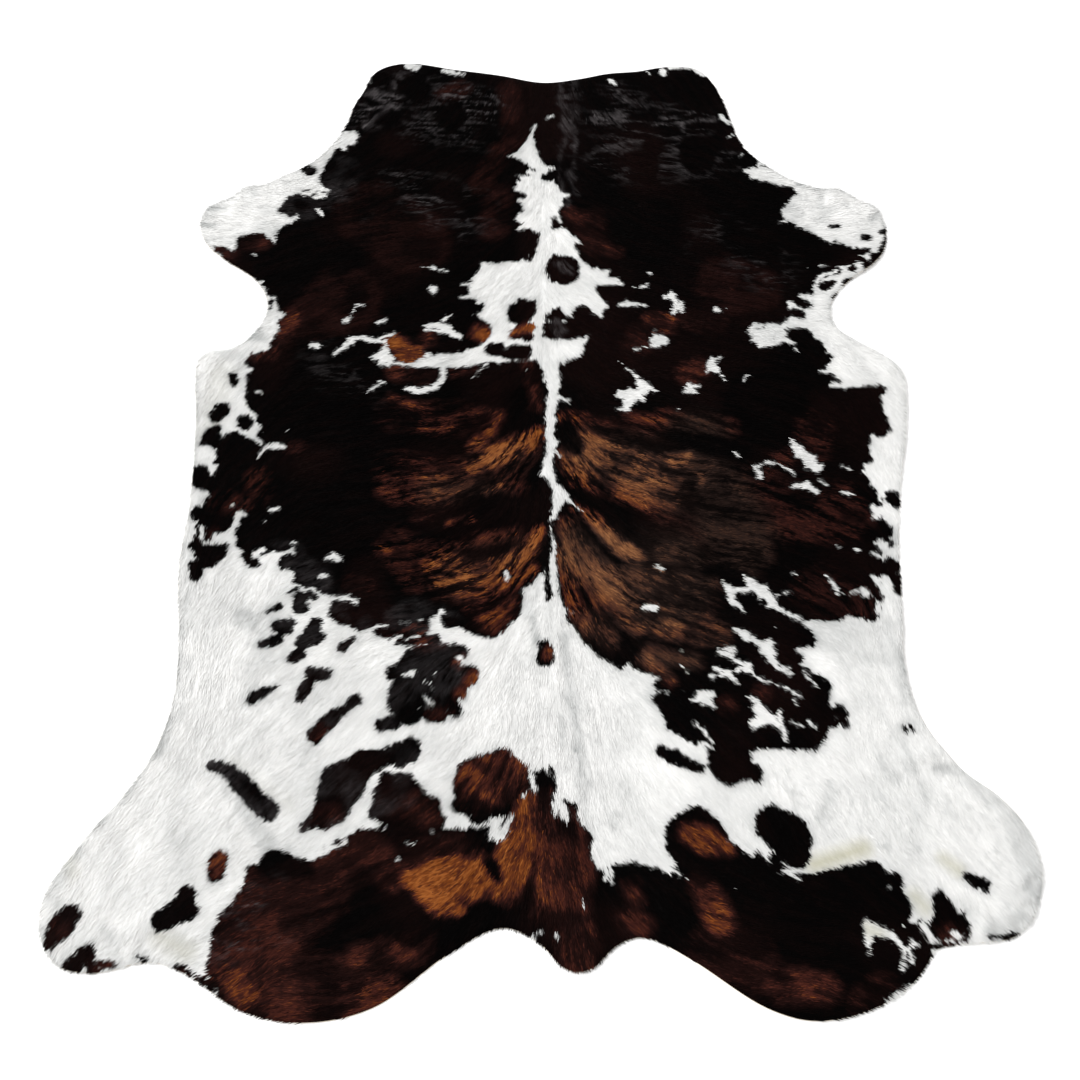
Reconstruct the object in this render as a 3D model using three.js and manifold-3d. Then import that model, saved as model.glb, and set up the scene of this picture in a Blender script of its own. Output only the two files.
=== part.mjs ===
// Cowhide rug: one tanned hide with its hair on, cut to the skin's own outline and lying flat on a floor.
// Millimetres, +Z up. X runs across the hide, +Y towards the neck, and the hide rests on z = 0.

import * as THREE from "three";
import { mergeVertices } from "three/addons/utils/BufferGeometryUtils.js";
import Module from "manifold-3d";

// Driving dimensions
const LEATHER = 2.4;          // tanned skin
const COAT = 3.0;             // short hair, lying flat on the skin
const RIM_STEP = 19;          // length of one straight piece of the cut edge
const MARGIN = 40;            // how far the uncut sheet reaches past the outline

// Landmarks of the cut edge, clockwise from the middle of the neck. The left and right legs differ,
// as they do on any skin, so every side has rows of its own.
const OUTLINE = [
  { at: "neck, middle", x: 0, y: 1037 },
  { at: "neck, right of the middle", x: 90, y: 1049 },
  { at: "neck, right quarter", x: 160, y: 1066 },
  { at: "neck, right half", x: 235, y: 1073 },
  { at: "neck, small step", x: 272, y: 1081 },
  { at: "neck, right crown", x: 348, y: 1087 },
  { at: "neck, right corner", x: 396, y: 1066 },
  { at: "right cheek", x: 438, y: 985 },
  { at: "right throat", x: 460, y: 893 },
  { at: "right shoulder, top", x: 483, y: 832 },
  { at: "right shoulder", x: 538, y: 776 },
  { at: "right shank, upper root", x: 612, y: 726 },
  { at: "right shank, upper hollow", x: 655, y: 711 },
  { at: "right shank, knuckle", x: 685, y: 715 },
  { at: "right shank, upper side", x: 736, y: 684 },
  { at: "right shank, upper corner", x: 777, y: 656 },
  { at: "right shank, tip", x: 794, y: 590 },
  { at: "right shank, lower corner", x: 779, y: 530 },
  { at: "right shank, lower side", x: 748, y: 494 },
  { at: "right armpit, upper", x: 690, y: 450 },
  { at: "right armpit", x: 649, y: 395 },
  { at: "right armpit, lower", x: 650, y: 338 },
  { at: "right belly, upper root", x: 684, y: 308 },
  { at: "right belly, upper side", x: 748, y: 263 },
  { at: "right belly, corner", x: 785, y: 222 },
  { at: "right belly", x: 788, y: 170 },
  { at: "right side, upper", x: 777, y: 75 },
  { at: "right side, middle", x: 749, y: -60 },
  { at: "right side, lower", x: 730, y: -200 },
  { at: "right flank, upper", x: 718, y: -350 },
  { at: "right flank", x: 710, y: -445 },
  { at: "right thigh, upper", x: 733, y: -552 },
  { at: "right thigh", x: 791, y: -643 },
  { at: "right hind leg, outer side", x: 856, y: -697 },
  { at: "right hind leg, outer curve", x: 903, y: -763 },
  { at: "right hind leg, tip", x: 915, y: -837 },
  { at: "right hind leg, lower corner", x: 888, y: -913 },
  { at: "right hind leg, foot", x: 845, y: -950 },
  { at: "right hind leg, sole", x: 755, y: -962 },
  { at: "right hind leg, inner hollow", x: 702, y: -970 },
  { at: "right rump, notch", x: 682, y: -998 },
  { at: "right rump, outer", x: 626, y: -1048 },
  { at: "right rump", x: 487, y: -1089 },
  { at: "right rump, inner", x: 395, y: -1070 },
  { at: "right of the tail, slope", x: 258, y: -986 },
  { at: "right of the tail, hollow", x: 178, y: -950 },
  { at: "tail, right root", x: 129, y: -965 },
  { at: "tail, right side", x: 95, y: -998 },
  { at: "tail, tip", x: 64, y: -1010 },
  { at: "tail, left side", x: 32, y: -1001 },
  { at: "tail, left root", x: -8, y: -961 },
  { at: "left of the tail, hollow", x: -75, y: -934 },
  { at: "left of the tail, slope", x: -170, y: -979 },
  { at: "left rump, inner", x: -300, y: -1068 },
  { at: "left rump", x: -427, y: -1092 },
  { at: "left rump, outer", x: -535, y: -1071 },
  { at: "left rump, slope", x: -645, y: -1008 },
  { at: "left hind leg, inner hollow", x: -707, y: -992 },
  { at: "left hind leg, sole", x: -790, y: -1010 },
  { at: "left hind leg, foot", x: -868, y: -998 },
  { at: "left hind leg, lower corner", x: -908, y: -945 },
  { at: "left hind leg, tip", x: -914, y: -888 },
  { at: "left hind leg, outer curve", x: -866, y: -796 },
  { at: "left thigh", x: -780, y: -681 },
  { at: "left thigh, upper", x: -735, y: -596 },
  { at: "left flank", x: -720, y: -480 },
  { at: "left flank, upper", x: -729, y: -365 },
  { at: "left side, lower", x: -743, y: -240 },
  { at: "left side, middle", x: -738, y: -90 },
  { at: "left side, upper", x: -747, y: 90 },
  { at: "left belly", x: -759, y: 195 },
  { at: "left belly, corner", x: -760, y: 248 },
  { at: "left belly, upper corner", x: -738, y: 272 },
  { at: "left belly, upper root", x: -693, y: 277 },
  { at: "left armpit, lower", x: -641, y: 319 },
  { at: "left armpit", x: -618, y: 385 },
  { at: "left armpit, upper", x: -651, y: 454 },
  { at: "left shank, lower side", x: -722, y: 506 },
  { at: "left shank, lower corner", x: -776, y: 555 },
  { at: "left shank, tip", x: -796, y: 620 },
  { at: "left shank, upper corner", x: -776, y: 664 },
  { at: "left shank, upper side", x: -724, y: 692 },
  { at: "left shank, knuckle", x: -700, y: 720 },
  { at: "left shank, upper hollow", x: -655, y: 725 },
  { at: "left shank, upper root", x: -618, y: 749 },
  { at: "left shoulder", x: -552, y: 789 },
  { at: "left shoulder, top", x: -503, y: 850 },
  { at: "left throat", x: -472, y: 912 },
  { at: "left cheek, nick", x: -462, y: 963 },
  { at: "left cheek", x: -438, y: 1012 },
  { at: "left jaw", x: -425, y: 1053 },
  { at: "neck, left corner", x: -396, y: 1082 },
  { at: "neck, left crown", x: -337, y: 1097 },
  { at: "neck, left half", x: -215, y: 1078 },
  { at: "neck, left of the middle", x: -105, y: 1060 }
];

// Low swellings of the dried skin, where it stands a little off the floor. Each is an oval: its middle,
// the turn of its long axis from +X, half its length and half its width, and its height.
const FOLDS = [
  { at: "backbone, shoulders", x: 8, y: 560, turn: 90, long: 430, wide: 75, high: 3.0 },
  { at: "backbone, loin", x: 12, y: -160, turn: 90, long: 470, wide: 75, high: 3.5 },
  { at: "neck, left ruffle", x: -250, y: 985, turn: -24, long: 170, wide: 62, high: 5 },
  { at: "neck, right ruffle", x: 240, y: 850, turn: 7, long: 210, wide: 60, high: 3.5 },
  { at: "neck, left crown", x: -350, y: 1058, turn: 12, long: 90, wide: 45, high: 6 },
  { at: "neck, right crown", x: 345, y: 1045, turn: -12, long: 100, wide: 48, high: 6 },
  { at: "left shank, upper ridge", x: -650, y: 694, turn: 10, long: 95, wide: 44, high: 5 },
  { at: "left shank, middle ridge", x: -704, y: 655, turn: 84, long: 62, wide: 40, high: 6 },
  { at: "left shank, upper tip ridge", x: -765, y: 632, turn: -4, long: 58, wide: 36, high: 6 },
  { at: "left shank, lower tip ridge", x: -757, y: 578, turn: 14, long: 55, wide: 36, high: 5 },
  { at: "right shank, root ridge", x: 628, y: 700, turn: 30, long: 75, wide: 38, high: 5 },
  { at: "right shank, pucker", x: 690, y: 680, turn: 78, long: 52, wide: 40, high: 6 },
  { at: "right shank, tip ridge", x: 752, y: 640, turn: 24, long: 72, wide: 40, high: 7 },
  { at: "right shank, lower lip", x: 735, y: 508, turn: 46, long: 85, wide: 38, high: 6 },
  { at: "left belly, lip", x: -735, y: 205, turn: 84, long: 90, wide: 42, high: 5 },
  { at: "left armpit, hollow", x: -632, y: 345, turn: 62, long: 80, wide: 40, high: 4 },
  { at: "right belly, lip", x: 762, y: 195, turn: 92, long: 115, wide: 44, high: 7 },
  { at: "right side, long lip", x: 742, y: 20, turn: 80, long: 120, wide: 42, high: 5 },
  { at: "left side, long lip", x: -722, y: -215, turn: 88, long: 170, wide: 42, high: 5 },
  { at: "right flank, lip", x: 698, y: -395, turn: 92, long: 130, wide: 40, high: 5 },
  { at: "left thigh, rolled edge", x: -728, y: -610, turn: 72, long: 120, wide: 46, high: 9 },
  { at: "left hind leg, rolled edge", x: -812, y: -752, turn: 50, long: 105, wide: 44, high: 8 },
  { at: "left hind leg, outer ridge", x: -868, y: -850, turn: 28, long: 62, wide: 38, high: 6 },
  { at: "left hind leg, long crease", x: -572, y: -772, turn: 118, long: 95, wide: 48, high: 7 },
  { at: "left hind leg, sole ridge", x: -732, y: -950, turn: 96, long: 66, wide: 38, high: 7 },
  { at: "left hind leg, foot ridge", x: -822, y: -965, turn: 70, long: 58, wide: 36, high: 5 },
  { at: "right thigh, pinch", x: 735, y: -630, turn: 4, long: 85, wide: 38, high: 7 },
  { at: "right hind leg, outer ridge", x: 868, y: -738, turn: 122, long: 95, wide: 42, high: 6 },
  { at: "right hind leg, tip ridge", x: 884, y: -842, turn: 14, long: 60, wide: 36, high: 7 },
  { at: "right hind leg, corner ridge", x: 858, y: -908, turn: -42, long: 58, wide: 34, high: 6 },
  { at: "right hind leg, sole ridge", x: 800, y: -928, turn: -82, long: 55, wide: 34, high: 5 },
  { at: "left rump, rim", x: -440, y: -1060, turn: 4, long: 130, wide: 42, high: 5 },
  { at: "right rump, rim", x: 500, y: -1058, turn: -4, long: 130, wide: 42, high: 5 },
  { at: "tail", x: 62, y: -965, turn: 90, long: 90, wide: 42, high: 5 }
];

// Grid of the uncut sheet: fine cells where the legs ripple, coarse ones over the flat body.
const COLUMNS = [
  { from: -960, to: -560, cells: 14 },
  { from: -560, to: 560, cells: 21 },
  { from: 560, to: 960, cells: 14 }
];
const ROWS = [
  { from: -1140, to: -560, cells: 20 },
  { from: -560, to: 500, cells: 19 },
  { from: 500, to: 760, cells: 9 },
  { from: 760, to: 1140, cells: 9 }
];

// A bump that is 1 at its middle and falls smoothly to nothing at distance 1.
function bump(distance) {
  return Math.abs(distance) < 1 ? (1 - distance * distance) ** 2 : 0;
}

// How far the skin's underside stands off the floor at a place.
function liftAt(x, y) {
  let lift = 0;
  for (const fold of FOLDS) {
    const turn = THREE.MathUtils.degToRad(fold.turn);
    const along = (x - fold.x) * Math.cos(turn) + (y - fold.y) * Math.sin(turn);
    const across = (y - fold.y) * Math.cos(turn) - (x - fold.x) * Math.sin(turn);
    lift += fold.high * bump(along / fold.long) * bump(across / fold.wide);
  }
  return lift;
}

// Grid lines from a list of stretches, each cut into equal cells.
function gridLines(stretches) {
  const lines = [stretches[0].from];
  for (const { from, to, cells } of stretches) {
    for (let cell = 1; cell <= cells; cell++) lines.push(from + ((to - from) * cell) / cells);
  }
  return lines;
}

// The uncut sheet: a closed slab with an even thickness that follows the folds on both faces.
function foldedSheet() {
  const xs = gridLines(COLUMNS);
  const ys = gridLines(ROWS);
  const across = xs.length;
  const layer = xs.length * ys.length;
  const positions = [];
  for (const thickness of [0, LEATHER + COAT]) {
    for (const y of ys) for (const x of xs) positions.push(x, y, liftAt(x, y) + thickness);
  }

  const triangles = [];
  const quad = (a, b, c, d) => triangles.push(a, b, c, a, c, d);
  for (let row = 0; row < ys.length - 1; row++) {
    for (let column = 0; column < across - 1; column++) {
      const corner = row * across + column;
      quad(corner, corner + across, corner + across + 1, corner + 1);
      quad(layer + corner, layer + corner + 1, layer + corner + across + 1, layer + corner + across);
    }
  }
  const wall = (from, to) => quad(from, to, layer + to, layer + from);
  const lastRow = (ys.length - 1) * across;
  for (let column = 0; column < across - 1; column++) {
    wall(column, column + 1);
    wall(lastRow + column + 1, lastRow + column);
  }
  for (let row = 0; row < ys.length - 1; row++) {
    wall((row + 1) * across, row * across);
    wall(row * across + across - 1, (row + 1) * across + across - 1);
  }

  const geometry = new THREE.BufferGeometry();
  geometry.setAttribute("position", new THREE.Float32BufferAttribute(positions, 3));
  geometry.setIndex(triangles);
  return geometry;
}

// A tall prism over the hide's outline: the knife's path.
function outlinePrism() {
  const landmarks = OUTLINE.map(({ x, y }) => new THREE.Vector3(x, y, 0));
  const edge = new THREE.CatmullRomCurve3(landmarks, true, "centripetal");
  const steps = Math.round(edge.getLength() / RIM_STEP);
  const rim = edge.getSpacedPoints(steps).slice(0, steps).map(({ x, y }) => new THREE.Vector2(x, y));
  const prism = new THREE.ExtrudeGeometry(new THREE.Shape(rim), { depth: 2 * MARGIN, bevelEnabled: false });
  return prism.translate(0, 0, -MARGIN);
}

const wasm = await Module();
wasm.setup();

function toSolid(geometry) {
  const bare = geometry.clone();
  bare.deleteAttribute("normal");
  bare.deleteAttribute("uv");
  const merged = mergeVertices(bare);
  return new wasm.Manifold(new wasm.Mesh({
    numProp: 3,
    vertProperties: new Float32Array(merged.attributes.position.array),
    triVerts: new Uint32Array(merged.index.array)
  }));
}

function toGeometry(solid) {
  const { vertProperties, triVerts } = solid.getMesh();
  const geometry = new THREE.BufferGeometry();
  geometry.setAttribute("position", new THREE.BufferAttribute(vertProperties, 3));
  geometry.setIndex(new THREE.BufferAttribute(triVerts, 1));
  geometry.computeVertexNormals();
  return geometry;
}

// The hide: the folded sheet cut along the outline, and centred over the origin.
function makeHide() {
  const geometry = toGeometry(toSolid(foldedSheet()).intersect(toSolid(outlinePrism())));
  const coat = new THREE.MeshStandardMaterial({ color: 0x2b221e, roughness: 0.72, metalness: 0 });
  const hide = new THREE.Mesh(geometry, coat);
  hide.name = "hide";
  geometry.computeBoundingBox();
  const middle = geometry.boundingBox.getCenter(new THREE.Vector3());
  hide.position.set(-middle.x, -middle.y, 0);
  return hide;
}

const group = new THREE.Group();
group.add(makeHide());

export default group;
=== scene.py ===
import math

import bpy
import numpy as np
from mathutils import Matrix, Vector
from mathutils.bvhtree import BVHTree
from mathutils.geometry import delaunay_2d_cdt


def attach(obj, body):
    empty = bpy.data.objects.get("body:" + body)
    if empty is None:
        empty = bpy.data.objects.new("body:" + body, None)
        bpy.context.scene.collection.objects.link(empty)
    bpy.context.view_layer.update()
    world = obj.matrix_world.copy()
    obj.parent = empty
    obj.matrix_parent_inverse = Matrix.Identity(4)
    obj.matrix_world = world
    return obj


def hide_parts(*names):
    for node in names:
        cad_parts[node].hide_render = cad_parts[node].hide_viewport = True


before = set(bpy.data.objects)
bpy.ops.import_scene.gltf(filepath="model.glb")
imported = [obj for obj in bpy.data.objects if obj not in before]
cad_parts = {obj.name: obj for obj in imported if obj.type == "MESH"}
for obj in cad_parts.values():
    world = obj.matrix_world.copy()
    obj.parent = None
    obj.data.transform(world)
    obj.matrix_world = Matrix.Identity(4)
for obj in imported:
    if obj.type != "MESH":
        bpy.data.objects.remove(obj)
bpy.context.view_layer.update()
MM = 0.001

# ---- Camera ----
# It is two metres above the tail end and looks along the rug and down, 68 degrees below the horizon, with
# the whole pelt in view.
CAMERA_PLACE = (-0.0071, -1.0413, 2.1318)
CAMERA_TILT = math.radians(22.0)
SENSOR_WIDTH = 36.0
FOCAL_LENGTH = 37.283

camera_data = bpy.data.cameras.new("camera")
camera_data.sensor_width = SENSOR_WIDTH
camera_data.lens = FOCAL_LENGTH
camera = bpy.data.objects.new("camera", camera_data)
camera.location = CAMERA_PLACE
camera.rotation_euler = (CAMERA_TILT, 0.0, 0.0)
bpy.context.collection.objects.link(camera)
bpy.context.scene.camera = camera

# ---- Hide ----
# The tanned skin: one piece of soft leather nearly 3 mm thick, trimmed by hand along its edge, with short
# under-hair in the pelt's colours on top and a nap of cream suede below. It lies flat but for the low
# waves that it kept from the animal's shape and from being folded.
# Sizes here are in millimetres.
SKIN = 2.6
UNDER_HAIR = 0.8
TRIM = 3.0
EDGE_BULGE = 0.7

# How far apart the points of the mesh and of the height grid are, and rows as a share of that.
RIM_STEP = 6.5
TOP_STEP = 8.2
UNDERSIDE_STEP = 13.0
ROW_SHARE = 0.866
LIFT_STEP = 8.0
GRID_MARGIN = 4
FLAT = 0.02
RIPPLE_BOW = 0.12

# Fine ripples in millimetres: centre x and y, direction in degrees, half-length, half-width and height.
RIPPLES = [
    # neck: creases across the nape and pressed lines beside the backbone
    (50, 850, 90, 260, 7, 0.9), (78, 850, 90, 230, 6, 0.8), (-392, 965, 62, 60, 12, 1.6),
    (-400, 920, 55, 55, 12, 1.4), (-240, 985, -24, 110, 12, 1.3), (-200, 955, -30, 110, 12, 1.3),
    (-170, 915, -32, 110, 11, 1.2), (-260, 930, -24, 90, 11, 1.1), (-300, 880, -10, 120, 12, 0.9),
    (230, 868, 4, 120, 9, 1.1), (270, 842, -3, 150, 9, 1.2), (260, 812, 4, 150, 9, 1.2),
    (300, 784, -4, 150, 9, 1.1), (280, 752, 3, 140, 9, 0.9), (210, 985, 80, 60, 9, 0.9),
    # shanks: puckers along their ends
    (-772, 650, 12, 32, 8, 2.4), (-776, 628, 5, 34, 8, 2.4), (-778, 601, -3, 34, 8, 2.4),
    (-775, 578, -14, 34, 8, 2.0), (-699, 668, 90, 40, 12, 2.4), (-650, 695, 20, 40, 10, 1.8),
    (621, 708, -45, 50, 12, 2.6), (684, 677, 10, 30, 24, 3.0), (764, 640, 35, 34, 11, 2.6),
    (720, 640, -30, 50, 14, 1.0),
    # hind legs
    (-582, -764, -62, 90, 24, 4.0), (-731, -950, 90, 46, 16, 3.0), (-800, -900, 50, 60, 16, 2.2),
    (716, -629, 0, 50, 16, 3.0), (880, -845, 38, 36, 9, 2.4), (872, -884, 10, 36, 9, 2.4),
    (862, -914, -25, 34, 9, 2.4), (836, -925, -60, 30, 9, 2.2), (798, -926, -85, 28, 9, 2.0),
    (-730, -590, 70, 40, 12, 2.6), (-826, -752, 40, 24, 9, 2.2), (-868, -838, 60, 24, 9, 2.0),
    # backbone
    (26, -430, 90, 140, 7, 1.8), (-38, -370, 84, 50, 10, 1.4),
    # belly edges
    (-715, -420, 84, 120, 16, 1.4), (700, -470, 96, 140, 16, 1.4), (755, 200, 86, 90, 14, 1.2),
    (-700, 260, 80, 70, 16, 1.2),
]

cad_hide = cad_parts["hide"]
cad_points = np.array([v.co[:] for v in cad_hide.data.vertices])
cad_faces = [tuple(p.vertices) for p in cad_hide.data.polygons]
cad_tree = BVHTree.FromPolygons([Vector(p) for p in cad_points], cad_faces)


def rim_of_model():
    """The hide's outline in millimetres: the edge that its upward and its upright faces share."""
    keys = {}
    same = [keys.setdefault(tuple(np.round(p * 1e5).astype(int)), len(keys)) for p in cad_points]
    place = {same[i]: cad_points[i, :2] / MM for i in range(len(same))}
    up_edges, wall_edges = set(), set()
    for face in cad_hide.data.polygons:
        ring = [same[i] for i in face.vertices]
        edges = {frozenset((ring[i - 1], ring[i])) for i in range(len(ring))}
        if face.normal.z > 0.5:
            up_edges |= edges
        elif abs(face.normal.z) < 0.3:
            wall_edges |= edges
    ways = {}
    for a, b in (tuple(e) for e in up_edges & wall_edges):
        ways.setdefault(a, []).append(b)
        ways.setdefault(b, []).append(a)
    start = next(iter(ways))
    loop, last, here = [start], None, start
    while True:
        onward = [n for n in ways[here] if n != last]
        last, here = here, onward[0]
        if here == start:
            break
        loop.append(here)
    return np.array([place[i] for i in loop])


def area_inside(loop):
    """The area inside a closed loop; negative if it runs clockwise."""
    x, y = loop[:, 0], loop[:, 1]
    return 0.5 * float(np.sum(x * np.roll(y, -1) - np.roll(x, -1) * y))


def even_steps(loop, step):
    """The same closed loop with its points an even step apart."""
    closed = np.vstack([loop, loop[:1]])
    run = np.concatenate([[0.0], np.cumsum(np.hypot(*np.diff(closed, axis=0).T))])
    count = int(round(run[-1] / step))
    at = np.arange(count) * run[-1] / count
    return np.stack([np.interp(at, run, closed[:, 0]), np.interp(at, run, closed[:, 1])], axis=1)


def drawn_in(loop, by):
    """The loop moved inwards; it runs anticlockwise, so inwards is to the left of its course."""
    course = np.roll(loop, -1, axis=0) - np.roll(loop, 1, axis=0)
    course /= np.hypot(course[:, 0], course[:, 1])[:, None]
    return loop + by * np.stack([-course[:, 1], course[:, 0]], axis=1)


outline = rim_of_model()
if area_inside(outline) < 0:
    outline = outline[::-1]
outline = even_steps(outline, RIM_STEP)
for _ in range(2):
    outline = 0.25 * np.roll(outline, 1, axis=0) + 0.5 * outline + 0.25 * np.roll(outline, -1, axis=0)
rim = drawn_in(outline, TRIM)

# The height of the underside over a grid of the floor, read from the model and smoothed, with the ripples.
LEFT, BOTTOM = np.floor(outline.min(axis=0) / LIFT_STEP - GRID_MARGIN) * LIFT_STEP
COLUMNS = int((outline[:, 0].max() - LEFT) / LIFT_STEP) + GRID_MARGIN + 2
ROWS = int((outline[:, 1].max() - BOTTOM) / LIFT_STEP) + GRID_MARGIN + 2
grid_x = LEFT + LIFT_STEP * np.arange(COLUMNS)
grid_y = BOTTOM + LIFT_STEP * np.arange(ROWS)


def height_from_below(x, y):
    """The model's underside above a place on the floor, or nan beside the hide."""
    hit = cad_tree.ray_cast(Vector((x * MM, y * MM, -0.1)), Vector((0, 0, 1)))[0]
    return math.nan if hit is None else hit.z / MM


def spread(values, weights, rounds):
    """Smooths a grid over its inside alone, by repeated small steps to the neighbours."""
    for _ in range(rounds):
        total, share = 4 * values * weights, 4 * weights
        for axis, turn in ((0, 1), (0, -1), (1, 1), (1, -1)):
            total = total + np.roll(values * weights, turn, axis)
            share = share + np.roll(weights, turn, axis)
        values = np.where(share > 0, total / np.maximum(share, 1e-9), values)
    return values


def between(field, i, j, right, over, u, v):
    """A grid's values blended at places part way, u and v, from one column and row to the next."""
    near = field[j, i] * (1 - u) + field[j, right] * u
    far = field[over, i] * (1 - u) + field[over, right] * u
    return near * (1 - v) + far * v


def on_grid(field, x, y):
    """A grid's value at any places, in between its points."""
    u = np.clip((x - LEFT) / LIFT_STEP, 0, COLUMNS - 1.001)
    v = np.clip((y - BOTTOM) / LIFT_STEP, 0, ROWS - 1.001)
    i, j = u.astype(int), v.astype(int)
    return between(field, i, j, i + 1, j + 1, u - i, v - j)


def ripple_height(x, y):
    """What the fine ripples add: each is a smooth ridge that bows a little along its length."""
    height = np.zeros_like(x)
    for cx, cy, turn, long, wide, high in RIPPLES:
        c, s = math.cos(math.radians(turn)), math.sin(math.radians(turn))
        along = ((x - cx) * c + (y - cy) * s) / long
        across = ((y - cy) * c - (x - cx) * s + RIPPLE_BOW * long * along * along) / wide
        reach = np.clip(1 - along * along, 0, None) ** 2
        height += high * reach * np.exp(-across * across)
    return height


heights = np.array([[height_from_below(x, y) for x in grid_x] for y in grid_y])
over_hide = ~np.isnan(heights)
whole_grid = np.ones_like(heights)
waves = spread(spread(np.nan_to_num(heights), over_hide.astype(float), 6), whole_grid, 1)
waves[waves < FLAT] = 0
over_share = spread(over_hide.astype(float), whole_grid, 2)


def lift_at(x, y):
    """How far the underside stands off the floor, in millimetres."""
    return on_grid(waves, x, y) + ripple_height(x, y)


def lattice(x, y, cell, seed, size=256):
    """Smooth noise, about -2 to 2, with bumps of the given size."""
    values = np.random.default_rng(seed).standard_normal((size, size))
    u, v = x / cell, y / cell
    i, j = np.floor(u).astype(int), np.floor(v).astype(int)
    u, v = u - i, v - j
    u, v = u * u * (3 - 2 * u), v * v * (3 - 2 * v)
    return between(values, i % size, j % size, (i + 1) % size, (j + 1) % size, u, v)


def staggered(loop, step, jitter, dice):
    """Places over the loop's box in staggered rows, each moved a little at random."""
    xs = np.arange(loop[:, 0].min(), loop[:, 0].max(), step)
    ys = np.arange(loop[:, 1].min(), loop[:, 1].max(), step * ROW_SHARE)
    x, y = np.meshgrid(xs, ys)
    x[1::2] += step / 2
    x = x + dice.uniform(-jitter, jitter, x.shape) * step
    y = y + dice.uniform(-jitter, jitter, y.shape) * step
    return x.ravel(), y.ravel()


def filled(loop, step, seed):
    """A triangle mesh inside the loop: its points, the loop's first, and its triangles."""
    x, y = staggered(loop, step, 0.12, np.random.default_rng(seed))
    keep = clearance(loop, x, y, step * 0.62)
    inner = np.stack([x[keep], y[keep]], axis=1)
    places = [Vector(p) for p in np.vstack([loop, inner])]
    ring = [(i, (i + 1) % len(loop)) for i in range(len(loop))]
    points, _, faces, origin, _, _ = delaunay_2d_cdt(places, ring, [], 1, 1e-4)
    points = np.array([p[:] for p in points])
    new = np.argsort([o[0] for o in origin])
    back = np.empty_like(new)
    back[new] = np.arange(len(new))
    return points[new], back[np.array(faces)]


def clearance(loop, x, y, room):
    """Which places lie inside the loop and at least that far from it."""
    inside = np.zeros(len(x), bool)
    clear = np.ones(len(x), bool)
    order = np.argsort(y, kind="stable")
    sorted_y = y[order]
    for (ax, ay), (bx, by) in zip(loop, np.roll(loop, -1, axis=0)):
        low, high = min(ay, by), max(ay, by)
        band = order[np.searchsorted(sorted_y, low - room):np.searchsorted(sorted_y, high + room)]
        px, py = x[band], y[band]
        clear[band] &= -depth_in((ax, ay, 0, bx, by, 0), px, py) >= room
        if high > low:
            cut = (py > low) & (py <= high)
            crossing = ax + (py[cut] - ay) * (bx - ax) / (by - ay)
            inside[band[cut]] ^= px[cut] < crossing
    return inside & clear


def depth_in(stroke, x, y):
    """How far places lie inside a tapered stroke; negative outside."""
    ax, ay, ra, bx, by, rb = stroke[:6]
    dx, dy = bx - ax, by - ay
    t = np.clip(((x - ax) * dx + (y - ay) * dy) / (dx * dx + dy * dy), 0, 1)
    return ra + (rb - ra) * t - np.hypot(x - ax - t * dx, y - ay - t * dy)


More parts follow.
